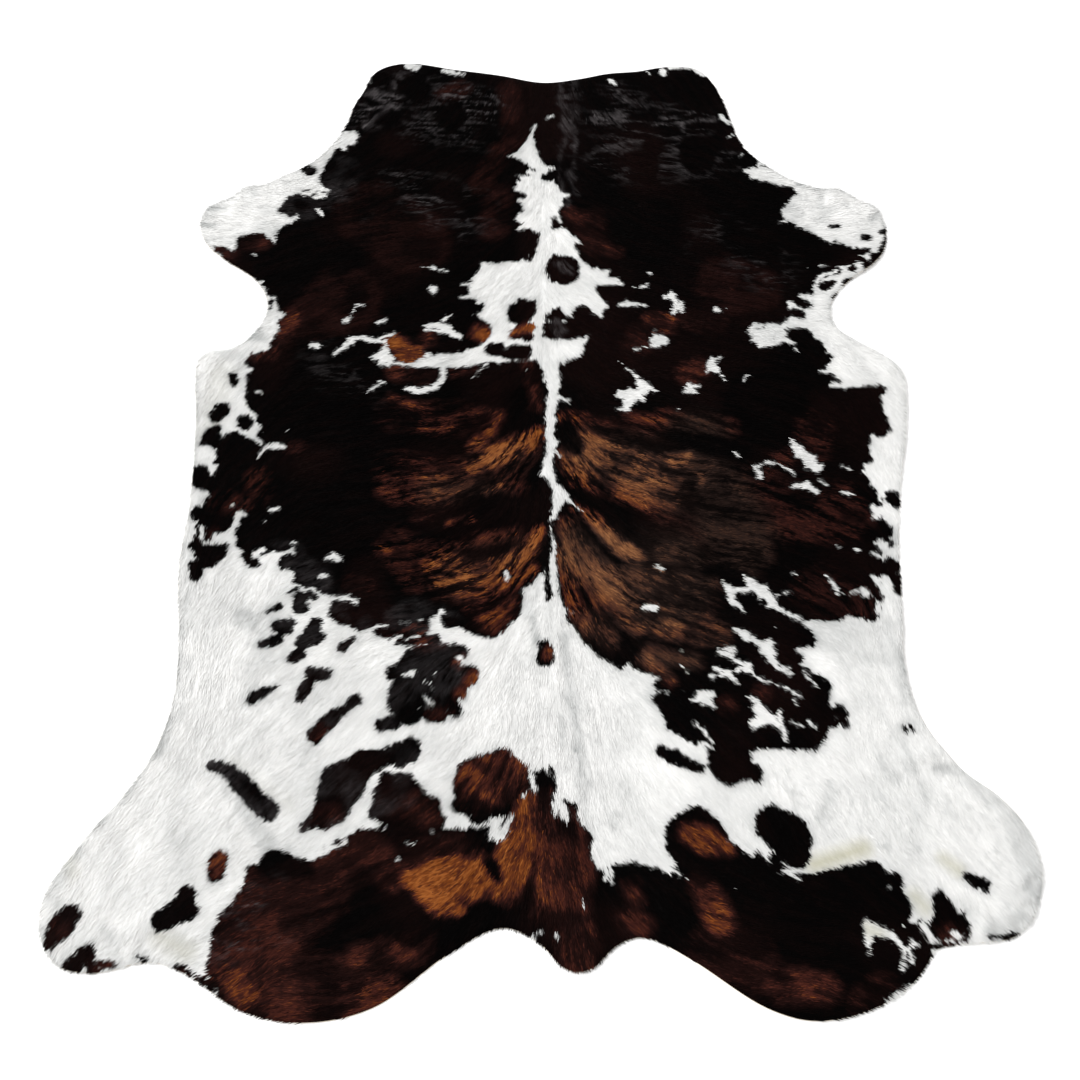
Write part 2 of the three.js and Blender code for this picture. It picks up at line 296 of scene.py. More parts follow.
# Markings of the pelt in millimetres, laid like brush strokes over white hair. Each row is one stroke:
# where it starts, x and y, and its half-width there, then where it ends and its half-width there.
DARK_STROKES = [
    # neck and shoulders
    (-190, 990, 240, 200, 990, 245), (-433, 1000, 30, -452, 905, 30), (-455, 915, 26, -478, 890, 12),
    (-300, 760, 200, -330, 640, 190), (-350, 560, 170, -500, 560, 95), (-420, 600, 150, -520, 470, 90),
    (-560, 490, 55, -660, 500, 40), (-600, 450, 30, -560, 420, 50), (-560, 340, 40, -540, 380, 50),
    (250, 820, 220, 300, 700, 240), (330, 640, 235, 400, 560, 190), (480, 560, 120, 600, 530, 50),
    (520, 690, 60, 565, 690, 32), (590, 540, 50, 690, 520, 30), (-90, 620, 60, -100, 560, 60),
    (60, 870, 60, 110, 640, 62), (440, 900, 22, 452, 860, 18),
    # black and brown patches on the left shank
    (-590, 686, 11, -562, 662, 30), (-562, 660, 30, -546, 648, 20), (-614, 655, 8, -585, 652, 20),
    (-560, 632, 10, -550, 610, 26), (-640, 540, 22, -600, 540, 45), (-748, 538, 9, -722, 529, 12),
    # left side: from the armpit down to the flank
    (-430, 430, 150, -430, 330, 150), (-420, 200, 170, -440, 80, 160), (-430, 60, 170, -440, -60, 150),
    (-570, 270, 26, -600, 262, 12), (-600, 256, 11, -638, 255, 6), (-600, 232, 10, -652, 234, 8),
    (-590, 190, 50, -605, 150, 38), (-600, 200, 42, -560, 120, 60), (-560, 90, 52, -570, 60, 30),
    (-691, 119, 19, -702, 106, 17), (-641, 92, 17, -636, 88, 16), (-700, 76, 10, -712, 54, 18),
    (-712, 52, 18, -704, 42, 13), (-668, 50, 15, -655, 10, 42), (-655, 10, 42, -640, -50, 52),
    (-626, 20, 28, -600, -20, 60), (-590, -50, 70, -560, -100, 80), (-722, -30, 18, -716, -52, 18),
    (-706, -40, 10, -695, -45, 10), (-735, -24, 8, -728, -50, 12), (-700, -60, 12, -690, -90, 20),
    (-680, -110, 30, -655, -130, 22), (-712, -124, 17, -690, -125, 20), (-600, -140, 34, -585, -180, 36),
    (-560, -150, 58, -540, -170, 38), (-650, -195, 5, -690, -185, 6), (-470, -150, 90, -470, -200, 40),
    (-716, -200, 9, -690, -212, 17), (-616, -196, 8, -598, -204, 14), (-592, -222, 10, -584, -232, 6),
    (-570, -198, 14, -548, -196, 10), (-523, -230, 16, -508, -235, 15), (-480, -220, 30, -480, -248, 27),
    (-480, -250, 27, -462, -262, 22), (-400, -200, 80, -395, -250, 48), (-435, -276, 24, -402, -282, 20),
    (-300, -200, 120, -300, -270, 82), (-412, -325, 15, -385, -335, 18), (-385, -335, 18, -350, -352, 19),
    (-360, -300, 30, -300, -320, 42), (-290, -310, 44, -235, -309, 41), (-236, -352, 8, -240, -380, 8),
    (-180, -260, 70, -150, -280, 40), (-115, -320, 34, -105, -360, 26), (-90, -280, 45, -60, -260, 30),
    (-150, -150, 130, -90, -180, 85), (-200, 50, 190, -150, -60, 148), (-130, 130, 110, -110, 60, 110),
    (-110, 150, 80, -80, 180, 58), (-60, 0, 60, -65, -110, 78),
    # left of the big shoulder star
    (-260, 350, 110, -230, 420, 62), (-250, 560, 90, -130, 570, 66), (-190, 480, 40, -170, 500, 30),
    (-170, 385, 25, -152, 378, 16), (-60, 560, 50, -40, 590, 40),
    # right shoulder and the saddle on the right
    (240, 470, 90, 330, 480, 120), (200, 400, 75, 170, 420, 50), (170, 350, 55, 130, 330, 40),
    (90, 372, 16, 84, 355, 20), (110, 335, 30, 70, 325, 24), (60, 318, 22, 18, 320, 24),
    (-2, 325, 12, 8, 305, 12), (300, 330, 150, 400, 370, 150), (450, 430, 110, 540, 480, 60),
    (560, 470, 50, 590, 450, 36), (600, 465, 20, 668, 479, 10), (190, 250, 110, 280, 200, 120),
    (120, 190, 85, 100, 130, 78), (250, 80, 190, 330, 0, 190), (420, 230, 110, 480, 130, 130),
    (520, 230, 60, 560, 285, 40), (566, 288, 40, 600, 272, 26), (598, 270, 22, 620, 248, 16),
    (590, 210, 26, 600, 160, 40), (620, 204, 8, 640, 195, 8), (640, 120, 55, 690, 120, 42),
    (706, 150, 26, 690, 100, 38), (718, 92, 20, 720, 80, 22), (600, 0, 110, 600, -70, 98),
    (90, 20, 62, 90, -50, 62), (110, -100, 60, 120, -180, 92), (150, -320, 92, 200, -380, 72),
    (98, -350, 44, 146, -412, 40), (185, -425, 27, 240, -450, 28), (280, -180, 190, 300, -260, 180),
    (300, -350, 110, 330, -400, 66), (270, -450, 40, 300, -480, 28), (450, -150, 130, 420, -220, 92),
    (600, -170, 110, 560, -220, 96), (690, -90, 18, 672, -110, 22), (728, -90, 15, 731, -101, 10),
    (726, -84, 13, 733, -81, 8), (704, -159, 17, 700, -152, 14), (690, -235, 24, 700, -245, 20),
    (640, -230, 60, 655, -245, 40), (712, -285, 10, 718, -262, 10), (500, -300, 50, 560, -290, 62),
    (560, -300, 50, 630, -290, 30), (610, -320, 25, 650, -330, 26), (672, -293, 14, 676, -300, 13),
    (465, -345, 20, 488, -366, 18), (450, -380, 14, 500, -392, 19), (500, -392, 18, 530, -402, 8),
    (420, -340, 45, 380, -350, 40),
    # black cluster behind the saddle, right
    (224, -512, 14, 260, -540, 27), (258, -540, 27, 298, -571, 28), (340, -500, 30, 370, -515, 32),
    (330, -560, 40, 370, -560, 36), (354, -610, 42, 352, -641, 39), (380, -652, 22, 398, -658, 18),
    (425, -591, 23, 450, -598, 14), (475, -414, 17, 493, -434, 17), (400, -420, 26, 360, -436, 22),
    (430, -450, 24, 470, -490, 30), (400, -490, 24, 440, -520, 26), (500, -480, 30, 530, -500, 24),
    (490, -550, 38, 500, -580, 30), (526, -560, 26, 514, -592, 22), (570, -536, 11, 580, -564, 8),
    (226, -616, 11, 252, -628, 15), (256, -632, 14, 294, -648, 12), (450, -580, 16, 470, -600, 14),
    (690, -571, 3, 697, -575, 3), (703, -564, 2, 709, -577, 2), (540, -510, 10, 552, -545, 12),
    # spots across the white loin, left
    (-490, -306, 15, -486, -326, 15), (-472, -301, 10, -460, -306, 7), (-500, -288, 5, -512, -294, 3),
    (-552, -338, 3, -531, -327, 8), (-534, -363, 9, -514, -366, 14), (-528, -373, 11, -510, -373, 12),
    (-505, -354, 5, -500, -358, 6), (-554, -403, 10, -528, -395, 11), (-454, -361, 13, -462, -384, 20),
    (-462, -385, 18, -480, -402, 14), (-450, -396, 8, -442, -390, 9), (-491, -430, 13, -483, -426, 12),
    (-374, -391, 5, -402, -414, 10), (-326, -379, 11, -282, -376, 15), (-282, -376, 15, -244, -368, 14),
    (-284, -401, 7, -212, -394, 11), (-288, -456, 12, -256, -432, 16), (-258, -428, 17, -166, -420, 17),
    (-240, -446, 17, -170, -440, 18), (-302, -458, 8, -305, -464, 6), (-272, -492, 26, -276, -522, 27),
    (-276, -522, 27, -258, -546, 20), (-286, -558, 18, -312, -566, 12), (-226, -540, 14, -201, -545, 16),
    (-190, -478, 26, -192, -504, 22), (-162, -484, 20, -138, -468, 11), (-166, -500, 14, -160, -505, 10),
    (-454, -467, 15, -427, -463, 12), (-462, -486, 13, -474, -514, 9), (-568, -514, 11, -546, -502, 11),
    (-546, -500, 10, -522, -489, 5), (-362, -514, 9, -398, -542, 12), (-398, -542, 13, -440, -584, 16),
    (-254, -606, 18, -290, -624, 18), (-290, -624, 20, -345, -641, 24), (-345, -641, 26, -373, -672, 40),
    (-373, -672, 40, -390, -706, 36), (-390, -706, 36, -412, -740, 24), (-402, -748, 16, -386, -744, 14),
    (-430, -748, 14, -448, -756, 7), (-630, -645, 9, -600, -652, 14), (-600, -652, 14, -565, -684, 19),
    (-565, -686, 19, -514, -728, 18),
    # rump, left
    (-284, -699, 33, -268, -722, 43), (-262, -684, 24, -240, -700, 18), (-250, -730, 42, -222, -732, 34),
    (-292, -732, 24, -240, -765, 30), (-120, -672, 49, -80, -666, 47), (-126, -696, 44, -86, -690, 47),
    (-80, -640, 30, -50, -665, 20), (-486, -841, 42, -440, -880, 55), (-330, -820, 52, -250, -800, 42),
    (-170, -790, 30, -126, -784, 24), (-430, -955, 134, -330, -930, 160), (-500, -990, 95, -450, -1040, 70),
    (-200, -900, 125, -60, -870, 90), (-537, -945, 50, -558, -1000, 42), (-430, -1078, 22, -310, -1080, 22),
    (-50, -760, 28, -40, -720, 16),
    # tail and rump, right
    (-2, -658, 8, 4, -675, 12), (2, -690, 16, 16, -740, 24), (54, -716, 4, 58, -745, 8),
    (44, -785, 43, 50, -850, 44), (60, -900, 70, 60, -980, 60), (150, -880, 58, 130, -930, 55),
    (165, -852, 32, 208, -862, 28), (286, -740, 23, 258, -768, 32), (260, -788, 33, 300, -800, 42),
    (250, -815, 22, 285, -840, 20), (238, -864, 10, 262, -872, 12), (305, -755, 22, 330, -778, 16),
    (300, -800, 42, 350, -820, 40), (345, -824, 38, 392, -848, 30), (300, -900, 60, 250, -950, 70),
    (420, -940, 100, 540, -950, 108), (520, -880, 44, 600, -850, 32), (500, -1030, 90, 610, -1000, 45),
    (622, -900, 38, 640, -910, 22), (424, -752, 34, 455, -774, 40), (453, -780, 38, 470, -812, 20),
    (425, -815, 11, 440, -835, 8), (672, -988, 22, 660, -1005, 24), (718, -886, 15, 728, -915, 22),
    (728, -915, 22, 745, -948, 13), (716, -925, 20, 702, -943, 11), (774, -846, 9, 804, -862, 11),
    (800, -951, 3, 848, -948, 5), (-722, -984, 4, -712, -990, 5),
    # spots on the hind legs, left
    (-856, -912, 19, -872, -938, 23), (-876, -942, 17, -884, -962, 11), (-820, -976, 14, -836, -1000, 18),
    (-802, -1000, 12, -768, -994, 7), (-812, -974, 11, -808, -978, 10), (-649, -880, 19, -645, -904, 18),
    (-662, -906, 23, -689, -922, 21), (-602, -842, 15, -598, -820, 18), (-656, -1003, 4, -625, -1013, 4),
    (-606, -1024, 6, -588, -1036, 7),
    # dots on the right shank and the dark edge below them, partly dark trimmed hair, partly painted shadow
    (797, 590, 8, 790, 550, 10), (790, 550, 10, 765, 512, 10), (765, 512, 10, 722, 480, 8),
    (706, 468, 6, 668, 428, 6), (668, 428, 6, 654, 398, 6), (-482, 805, 24, -495, 738, 34),
    (-590, 682, 14, -575, 690, 8), (-612, 655, 12, -590, 645, 14), (-590, 590, 16, -602, 560, 24),
    (-108, 730, 46, -112, 690, 50), (440, 950, 12, 450, 915, 10), (75, 640, 38, 84, 610, 42),
    (585, 590, 12, 608, 580, 8), (-725, 525, 13, -703, 505, 16), (-700, 520, 18, -690, 505, 14),
    (-690, 545, 13, -665, 545, 14), (-575, 300, 22, -585, 286, 18), (-642, 245, 6, -590, 246, 9),
    (-640, 205, 8, -640, 160, 6), (-655, 58, 8, -620, 40, 12), (-604, 70, 5, -604, 58, 6),
    (-70, 232, 12, -20, 232, 12), (110, 555, 38, 150, 512, 30), (80, 378, 9, 74, 362, 8),
    (-15, 222, 20, -14, 150, 23), (-14, 150, 23, -20, 60, 21), (50, 75, 26, 52, 58, 26),
    (590, 235, 12, 612, 228, 9), (662, 160, 13, 722, 164, 14), (724, 90, 16, 718, 74, 17),
    (690, 56, 12, 688, 45, 8), (-700, -155, 18, -662, -150, 17), (-706, -176, 11, -690, -170, 12),
    (-706, -194, 14, -690, -210, 22), (-690, -211, 22, -664, -204, 18), (-704, -240, 16, -703, -262, 12),
    (-692, -230, 16, -682, -220, 16), (-240, -472, 16, -226, -502, 13), (-206, -524, 16, -190, -520, 16),
    (-186, -328, 22, -160, -334, 24), (-185, -346, 20, -165, -350, 18), (-145, -335, 25, -125, -355, 26),
    (-112, -358, 31, -100, -362, 28), (-70, -300, 30, -80, -345, 33), (-45, -258, 28, -38, -235, 32),
    (-10, -60, 24, -14, -228, 28), (55, -110, 17, 50, -128, 15), (53, -140, 29, 53, -180, 29),
    # On the next line the last stroke is a dark line of painted shadow along the right belly's edge.
    (61, -200, 34, 65, -300, 37), (85, 0, 65, 86, -40, 61), (716, -235, 9, 716, -250, 8),
    (515, -467, 14, 537, -487, 10), (500, -520, 14, 530, -528, 14), (255, -502, 12, 290, -522, 14),
    (-15, -665, 13, -12, -700, 20), (-12, -700, 22, -5, -800, 28), (-5, -955, 10, 10, -965, 15),
    (320, -992, 30, 380, -1028, 42), (380, -1028, 42, 430, -1048, 42), (668, -940, 14, 690, -960, 14),
    (680, -925, 8, 690, -938, 9), (-598, 690, 8, -603, 670, 6), (-690, 58, 8, -690, 45, 6),
    (-725, 38, 6, -700, 32, 5), (-680, -232, 10, -660, -215, 12), (-612, -212, 6, -598, -230, 7),
    (-590, -238, 6, -580, -236, 5), (-498, -272, 8, -450, -282, 8), (-420, -340, 10, -400, -350, 14),
    (-390, -352, 14, -350, -366, 10), (-150, -368, 8, -125, -380, 8), (-196, -355, 8, -190, -364, 8),
    (-300, -470, 8, -290, -465, 8), (-185, -520, 12, -170, -540, 12), (0, -404, 10, 4, -430, 20),
    (14, -436, 7, 16, -440, 6), (505, -370, 16, 526, -390, 13), (526, -390, 13, 500, -406, 6),
    (520, -345, 10, 590, -346, 10), (535, -470, 8, 552, -490, 8), (551, -500, 5, 552, -515, 5),
    (575, -535, 9, 582, -545, 8), (225, -486, 10, 262, -494, 9), (48, -335, 6, 50, -355, 5),
    (404, -528, 6, 404, -545, 6), (-36, -650, 7, -33, -690, 5), (-160, -715, 14, -110, -735, 10),
    (-130, -744, 7, -105, -748, 6), (-405, -665, 18, -411, -720, 18), (-526, -845, 20, -530, -860, 20),
    (-545, -890, 20, -572, -925, 16), (-586, -940, 10, -588, -990, 8), (-320, -700, 10, -317, -740, 10),
    (-300, -668, 12, -256, -665, 8), (-275, -634, 16, -250, -622, 14), (-886, -950, 12, -886, -965, 10),
    (-640, -1000, 4, -655, -998, 4), (-616, -1020, 5, -606, -1024, 5), (14, -650, 5, 18, -680, 8),
    (44, -712, 6, 46, -735, 5), (400, -580, 8, 402, -605, 10), (560, -562, 8, 570, -556, 8),
    (248, -562, 12, 290, -592, 10), (756, -915, 8, 760, -948, 7), (640, -852, 12, 656, -900, 10),
]

# White strokes, laid over the dark ones.
WHITE_STROKES = [
    # flecks along the neck edge
    (-334, 1086, 12, -312, 1076, 12), (-247, 1070, 7, -224, 1063, 8), (-222, 1060, 6, -194, 1055, 3),
    (168, 1036, 8, 175, 1025, 6), (260, 1060, 4, 264, 1056, 3), (295, 1063, 9, 301, 1057, 7),
    (318, 1080, 10, 372, 1080, 11), (372, 1078, 10, 396, 1056, 10), (434, 924, 6, 448, 904, 7),
    (444, 861, 1, 460, 869, 1), (471, 806, 2, 476, 812, 1),
    # left cheek and shank
    (-486, 856, 13, -458, 864, 14), (-458, 876, 8, -455, 868, 10), (-488, 843, 8, -456, 845, 8),
    (-480, 836, 9, -472, 826, 6), (-508, 842, 14, -522, 802, 15), (-536, 716, 14, -506, 703, 6),
    (-625, 712, 34, -565, 735, 34), (-530, 697, 3, -514, 691, 7), (-526, 652, 3, -514, 636, 5),
    (-700, 655, 82, -645, 690, 48), (-622, 566, 3, -618, 556, 3), (-745, 562, 20, -716, 552, 10),
    (-660, 523, 4, -655, 519, 3),
    # left armpit and belly
    (-612, 404, 8, -602, 380, 10), (-602, 370, 10, -588, 359, 11), (-606, 350, 17, -604, 322, 17),
    (-700, 240, 45, -690, 210, 40), (-621, 167, 4, -608, 161, 3), (-600, 6, 2, -593, 22, 5),
    (-592, 26, 5, -578, 34, 7), (-578, 34, 7, -552, 30, 5), (-549, 71, 2, -546, 70, 2),
    (-720, 22, 17, -702, 4, 11), (-694, -14, 8, -697, -26, 6), (-730, -86, 13, -702, -78, 6),
    (-694, -191, 4, -668, -184, 8), (-668, -184, 8, -640, -160, 9), (-640, -160, 9, -632, -130, 8),
    (-633, -123, 7, -618, -126, 4), (-644, -178, 10, -632, -200, 9), (-567, -116, 4, -551, -108, 4),
    (-575, -143, 2, -572, -141, 2), (-519, -190, 2, -507, -190, 2),
    # cracks and flecks in the left shoulder
    (-445, 346, 5, -438, 350, 7), (-432, 358, 2, -418, 380, 2), (-416, 385, 4, -403, 390, 2),
    (-514, 282, 6, -498, 280, 7), (-498, 280, 7, -492, 282, 3), (-462, 256, 3, -440, 276, 6),
    (-440, 276, 6, -424, 291, 7), (-426, 298, 6, -400, 300, 6), (-400, 300, 6, -372, 296, 4),
    (-372, 296, 3, -340, 307, 4), (-338, 308, 4, -328, 316, 1), (-370, 340, 4, -355, 345, 6),
    (-384, 160, 2, -366, 176, 3), (-366, 176, 3, -350, 188, 4), (-352, 190, 3, -366, 195, 2),
    (-280, 490, 1, -256, 488, 3), (-252, 486, 5, -232, 481, 4), (-230, 479, 2, -208, 475, 1),
    (-249, 427, 9, -245, 421, 8), (-256, 442, 2, -255, 452, 1), (-186, 441, 1, -164, 440, 5),
    (-264, 331, 4, -238, 334, 9), (-238, 334, 9, -212, 322, 11), (-212, 322, 10, -190, 308, 7),
    (-190, 308, 6, -178, 298, 4), (-222, 346, 5, -203, 362, 3), (-346, 284, 3, -350, 262, 11),
    (-352, 252, 17, -338, 246, 10), (-366, 250, 10, -378, 252, 3), (-336, 237, 2, -270, 244, 10),
    (-270, 244, 11, -190, 242, 19), (-262, 258, 6, -254, 260, 7), (-190, 242, 19, -138, 250, 17),
    (-221, 226, 7, -220, 200, 6), (-220, 200, 6, -232, 180, 9), (-232, 179, 9, -262, 169, 9),
    (-262, 169, 9, -280, 171, 8), (-280, 172, 7, -300, 174, 5), (-154, 199, 1, -140, 214, 2),
    (-140, 214, 2, -128, 231, 4),
    # the big star on the shoulders, left of the backbone
    (-168, 455, 3, -148, 460, 8), (-190, 407, 2, -160, 411, 8), (-14, 420, 24, -20, 310, 17),
    (-14, 290, 18, -14, 262, 12),
    # blaze up the neck
    (17, 928, 5, 13, 922, 4), (-17, 899, 3, -25, 880, 4), (-28, 874, 5, -30, 850, 10),
    (-30, 846, 11, -32, 828, 19), (-34, 826, 21, -36, 810, 24), (-77, 803, 3, -50, 806, 13),
    (-32, 800, 20, -16, 778, 16), (-22, 850, 6, -22, 815, 11), (-32, 757, 7, -24, 750, 10),
    (-18, 780, 16, 2, 765, 12), (2, 766, 10, 28, 766, 2), (-8, 755, 13, -6, 735, 22),
    (-64, 713, 4, -40, 716, 16), (-60, 704, 6, -36, 708, 12), (-12, 705, 27, 8, 700, 32),
    (8, 692, 30, 52, 688, 6), (38, 684, 8, 40, 662, 8), (-18, 664, 32, 6, 664, 30),
    (-63, 622, 4, -44, 625, 16), (-46, 625, 18, -14, 622, 28), (-60, 594, 3, -36, 600, 9),
    (-40, 600, 9, -6, 602, 20), (50, 584, 8, 50, 562, 21), (50, 562, 20, 58, 532, 20),
    (76, 556, 12, 90, 552, 3),
    # the star, right of the backbone
    (78, 424, 40, 92, 440, 30), (120, 453, 16, 164, 450, 10), (164, 447, 11, 180, 441, 5),
    (96, 410, 26, 132, 384, 12), (132, 384, 11, 148, 380, 2), (112, 386, 14, 132, 358, 5),
    (185, 438, 1, 214, 433, 1), (216, 433, 3, 233, 437, 5), (239, 474, 4, 244, 472, 2),
    (172, 388, 5, 190, 392, 8), (190, 391, 6, 228, 387, 3), (274, 409, 5, 290, 414, 8),
    (289, 413, 8, 300, 382, 9), (300, 381, 9, 292, 369, 7), (386, 378, 6, 394, 375, 5),
    (410, 377, 1, 414, 375, 1), (239, 285, 6, 250, 282, 6), (246, 298, 12, 266, 292, 12),
    (266, 292, 10, 275, 294, 5), (243, 312, 3, 248, 319, 2), (200, 271, 3, 228, 277, 2),
    (198, 272, 2, 192, 279, 1), (166, 241, 3, 169, 239, 2), (169, 239, 1, 188, 220, 1),
    (188, 220, 2, 206, 200, 5), (212, 190, 8, 234, 174, 7), (234, 174, 7, 246, 165, 3),
    (208, 152, 9, 214, 147, 8), (200, 172, 16, 214, 172, 18), (196, 168, 12, 169, 151, 6),
    (196, 160, 18, 186, 140, 12), (182, 138, 11, 176, 122, 9), (176, 122, 6, 160, 122, 2),
    (176, 121, 6, 192, 118, 2), (371, 244, 8, 368, 228, 12), (365, 240, 5, 362, 222, 5),
    (368, 228, 12, 378, 220, 8), (380, 248, 4, 388, 251, 3), (384, 214, 2, 398, 194, 1),
    (360, 215, 3, 354, 213, 2), (316, 180, 7, 318, 168, 10), (318, 166, 9, 332, 160, 3),
    (326, 181, 5, 338, 181, 3), (286, 122, 2, 292, 124, 3),
    # white between the star and the saddle, and the thin line down the backbone
    (4, 292, 12, 20, 270, 20), (30, 270, 24, 70, 274, 20), (76, 288, 14, 98, 303, 4),
    (64, 262, 18, 80, 258, 7), (28, 244, 12, 28, 180, 10), (26, 180, 10, 20, 140, 10),
    (36, 150, 7, 60, 138, 2), (18, 140, 10, 15, 60, 8), (15, 60, 8, 18, 20, 9), (26, 18, 6, 36, 8, 2),
    (14, 20, 10, 8, -28, 12), (12, -30, 8, 24, -70, 9), (30, -60, 8, 48, -84, 8), (30, -80, 14, 40, -87, 9),
    (46, -90, 6, 58, -96, 4), (58, -96, 3, 84, -122, 1), (24, -80, 11, 22, -130, 8),
    (-2, -36, 4, 2, -34, 6),
    # right shoulder edge and shank
    (480, 756, 5, 506, 758, 14), (512, 782, 6, 521, 785, 9), (500, 758, 16, 545, 750, 22),
    (490, 744, 5, 540, 730, 6), (545, 728, 4, 580, 718, 5), (545, 752, 22, 600, 728, 14),
    (604, 655, 34, 650, 632, 48), (576, 640, 22, 620, 622, 26), (578, 650, 14, 568, 664, 4),
    (566, 616, 4, 548, 613, 2), (640, 604, 30, 700, 588, 36), (650, 585, 22, 672, 556, 6),
    (598, 485, 2, 628, 483, 4), (712, 482, 16, 690, 474, 15), (700, 470, 12, 650, 457, 6),
    (650, 457, 6, 618, 443, 4), (622, 440, 6, 614, 430, 6), (664, 436, 16, 630, 420, 16),
    (630, 420, 16, 606, 398, 14), (564, 391, 4, 548, 394, 2), (625, 396, 28, 612, 350, 34),
    (600, 400, 18, 590, 360, 14), (665, 250, 25, 660, 220, 30), (700, 210, 30, 760, 180, 40),
    (626, 180, 6, 652, 180, 9), (606, 216, 3, 616, 218, 4), (472, 336, 5, 462, 326, 8),
    (464, 318, 10, 484, 305, 18), (484, 305, 20, 506, 318, 16), (506, 320, 16, 534, 328, 9),
    (534, 330, 9, 556, 350, 9), (556, 352, 10, 590, 340, 12), (468, 296, 10, 490, 287, 10),
    (490, 284, 6, 492, 278, 3), (500, 300, 8, 535, 312, 8), (478, 331, 5, 508, 334, 5),
    (528, 303, 6, 546, 289, 6), (548, 287, 3, 562, 265, 1),
    # right belly and side
    (765, 150, 28, 762, 60, 20), (752, 40, 40, 722, 10, 28), (712, 30, 22, 700, 45, 14),
    (728, -20, 40, 704, -50, 18), (700, -20, 20, 682, -18, 10), (720, -60, 16, 702, -70, 6),
    (700, -118, 12, 722, -122, 10), (696, -126, 8, 687, -128, 6), (696, -188, 6, 704, -187, 4),
    (438, 204, 3, 450, 203, 4), (430, 196, 2, 438, 202, 2), (530, 46, 5, 545, 20, 13),
    (545, 20, 14, 562, -8, 12), (538, 30, 8, 551, -10, 10), (556, 12, 9, 569, 4, 8),
    (562, -8, 12, 576, -20, 11), (576, -16, 8, 588, -10, 3), (470, -4, 3, 498, -10, 3),
    (498, -10, 3, 520, -22, 4), (520, -22, 3, 531, -36, 1), (461, -8, 2, 450, -16, 4),
    (450, -16, 6, 456, -38, 6), (456, -43, 4, 444, -44, 1), (524, -62, 5, 548, -58, 6),
    (548, -58, 9, 574, -72, 6), (580, -44, 2, 592, -58, 2), (404, 20, 4, 412, 10, 4),
    (630, -14, 3, 646, -22, 4), (624, -72, 3, 640, -80, 4), (682, -184, 2, 696, -194, 9),
    (684, -208, 3, 700, -216, 9), (696, -192, 12, 722, -212, 8), (596, -188, 2, 606, -200, 2),
    (638, -204, 3, 644, -206, 3),
    # white ways through the right saddle's lower edge
    (404, -256, 3, 420, -282, 8), (388, -290, 8, 412, -290, 8), (420, -282, 9, 446, -304, 9),
    (440, -310, 9, 478, -334, 5), (460, -300, 2, 498, -298, 1), (362, -268, 2, 374, -290, 8),
    (374, -290, 8, 380, -318, 9), (384, -318, 7, 402, -336, 3), (568, -254, 2, 586, -278, 5),
    (586, -278, 4, 592, -298, 4), (590, -299, 3, 625, -301, 3), (625, -300, 4, 652, -299, 8),
    (504, -255, 3, 516, -262, 2), (668, -270, 5, 694, -269, 7), (700, -282, 10, 700, -320, 14),
    (677, -332, 4, 700, -330, 18), (378, -372, 3, 400, -390, 7), (386, -376, 5, 405, -388, 8),
    (405, -390, 6, 430, -396, 4), (442, -430, 5, 460, -452, 5), (460, -452, 5, 486, -463, 4),
    (350, -410, 5, 372, -416, 7), (372, -420, 5, 384, -430, 3), (380, -438, 6, 396, -446, 6),
    (388, -434, 4, 412, -468, 3), (412, -468, 3, 444, -488, 2), (334, -450, 4, 350, -462, 6),
    (352, -465, 5, 386, -486, 2), (290, -519, 5, 310, -511, 12), (310, -511, 12, 326, -506, 8),
    (322, -520, 6, 330, -534, 2), (410, -530, 6, 424, -550, 14), (424, -552, 12, 402, -560, 7),
    (430, -550, 12, 450, -562, 5), (452, -566, 3, 458, -580, 1), (470, -489, 2.5, 500, -511, 2),
    (490, -558, 1, 494, -568, 1), (486, -520, 3, 506, -541, 2), (308, -600, 4, 322, -612, 3),
    (200, -330, 5, 221, -331, 8), (232, -238, 4, 238, -244, 6), (265, -412, 3, 272, -414, 3),
    (266, -446, 1.5, 282, -462, 2), (478, -559, 2.5, 498, -572, 3.5), (503, -556, 2, 520, -568, 3),
    (510, -462, 2, 532, -491, 3), (455, -540, 4, 463, -594, 4.5), (288, -556, 1.5, 310, -580, 2.5),
    (310, -580, 4, 326, -604, 2.5), (430, -478, 3, 470, -490, 2.5), (398, -510, 3, 410, -518, 5),
    # white ways through the left saddle's lower edge
    (-444, -220, 4, -428, -215, 8), (-427, -214, 9, -416, -222, 8), (-449, -258, 5, -440, -262, 5),
    (-550, -236, 10, -535, -252, 8), (-411, -305, 4, -376, -315, 6), (-238, -474, 4, -224, -481, 5),
    (-236, -508, 6, -222, -520, 6), (-222, -520, 5, -232, -532, 3), (-262, -464, 1, -290, -461, 1),
    (-212, -492, 1, -208, -478, 1),
    # rump and tail
    (-396, -768, 8, -352, -742, 10), (-352, -742, 10, -330, -716, 8), (-330, -716, 7, -326, -690, 6),
    (-330, -745, 7, -296, -756, 3), (-150, -748, 2, -92, -758, 3), (-86, -762, 8, -85, -784, 3),
    (-76, -766, 8, -60, -740, 5), (-265, -812, 1, -274, -818, 1), (-240, -782, 2, -262, -796, 1),
    (74, -886, 2, 71, -904, 2), (70, -925, 1, 68, -935, 2), (21, -945, 2, 25, -956, 2),
    (122, -836, 6, 124, -858, 3), (24, -690, 3, 36, -730, 9), (36, -730, 9, 46, -752, 3),
    (584, -930, 9, 604, -940, 10), (604, -940, 9, 628, -950, 5), (628, -950, 5, 642, -968, 5),
    (642, -968, 5, 638, -1002, 4), (652, -975, 4, 654, -993, 4), (584, -944, 9, 582, -974, 5),
    (-2, 582, 6, -2, 556, 6), (741, -940, 3, 747, -950, 5), (-530, 684, 6, -518, 684, 5),
    (-360, 234, 5, -340, 234, 5), (-310, 231, 4, -235, 230, 4), (-260, 322, 5, -215, 315, 4),
    (-215, 315, 4, -182, 300, 4), (-395, 296, 5, -350, 290, 5), (-6, 240, 5, 2, 225, 5),
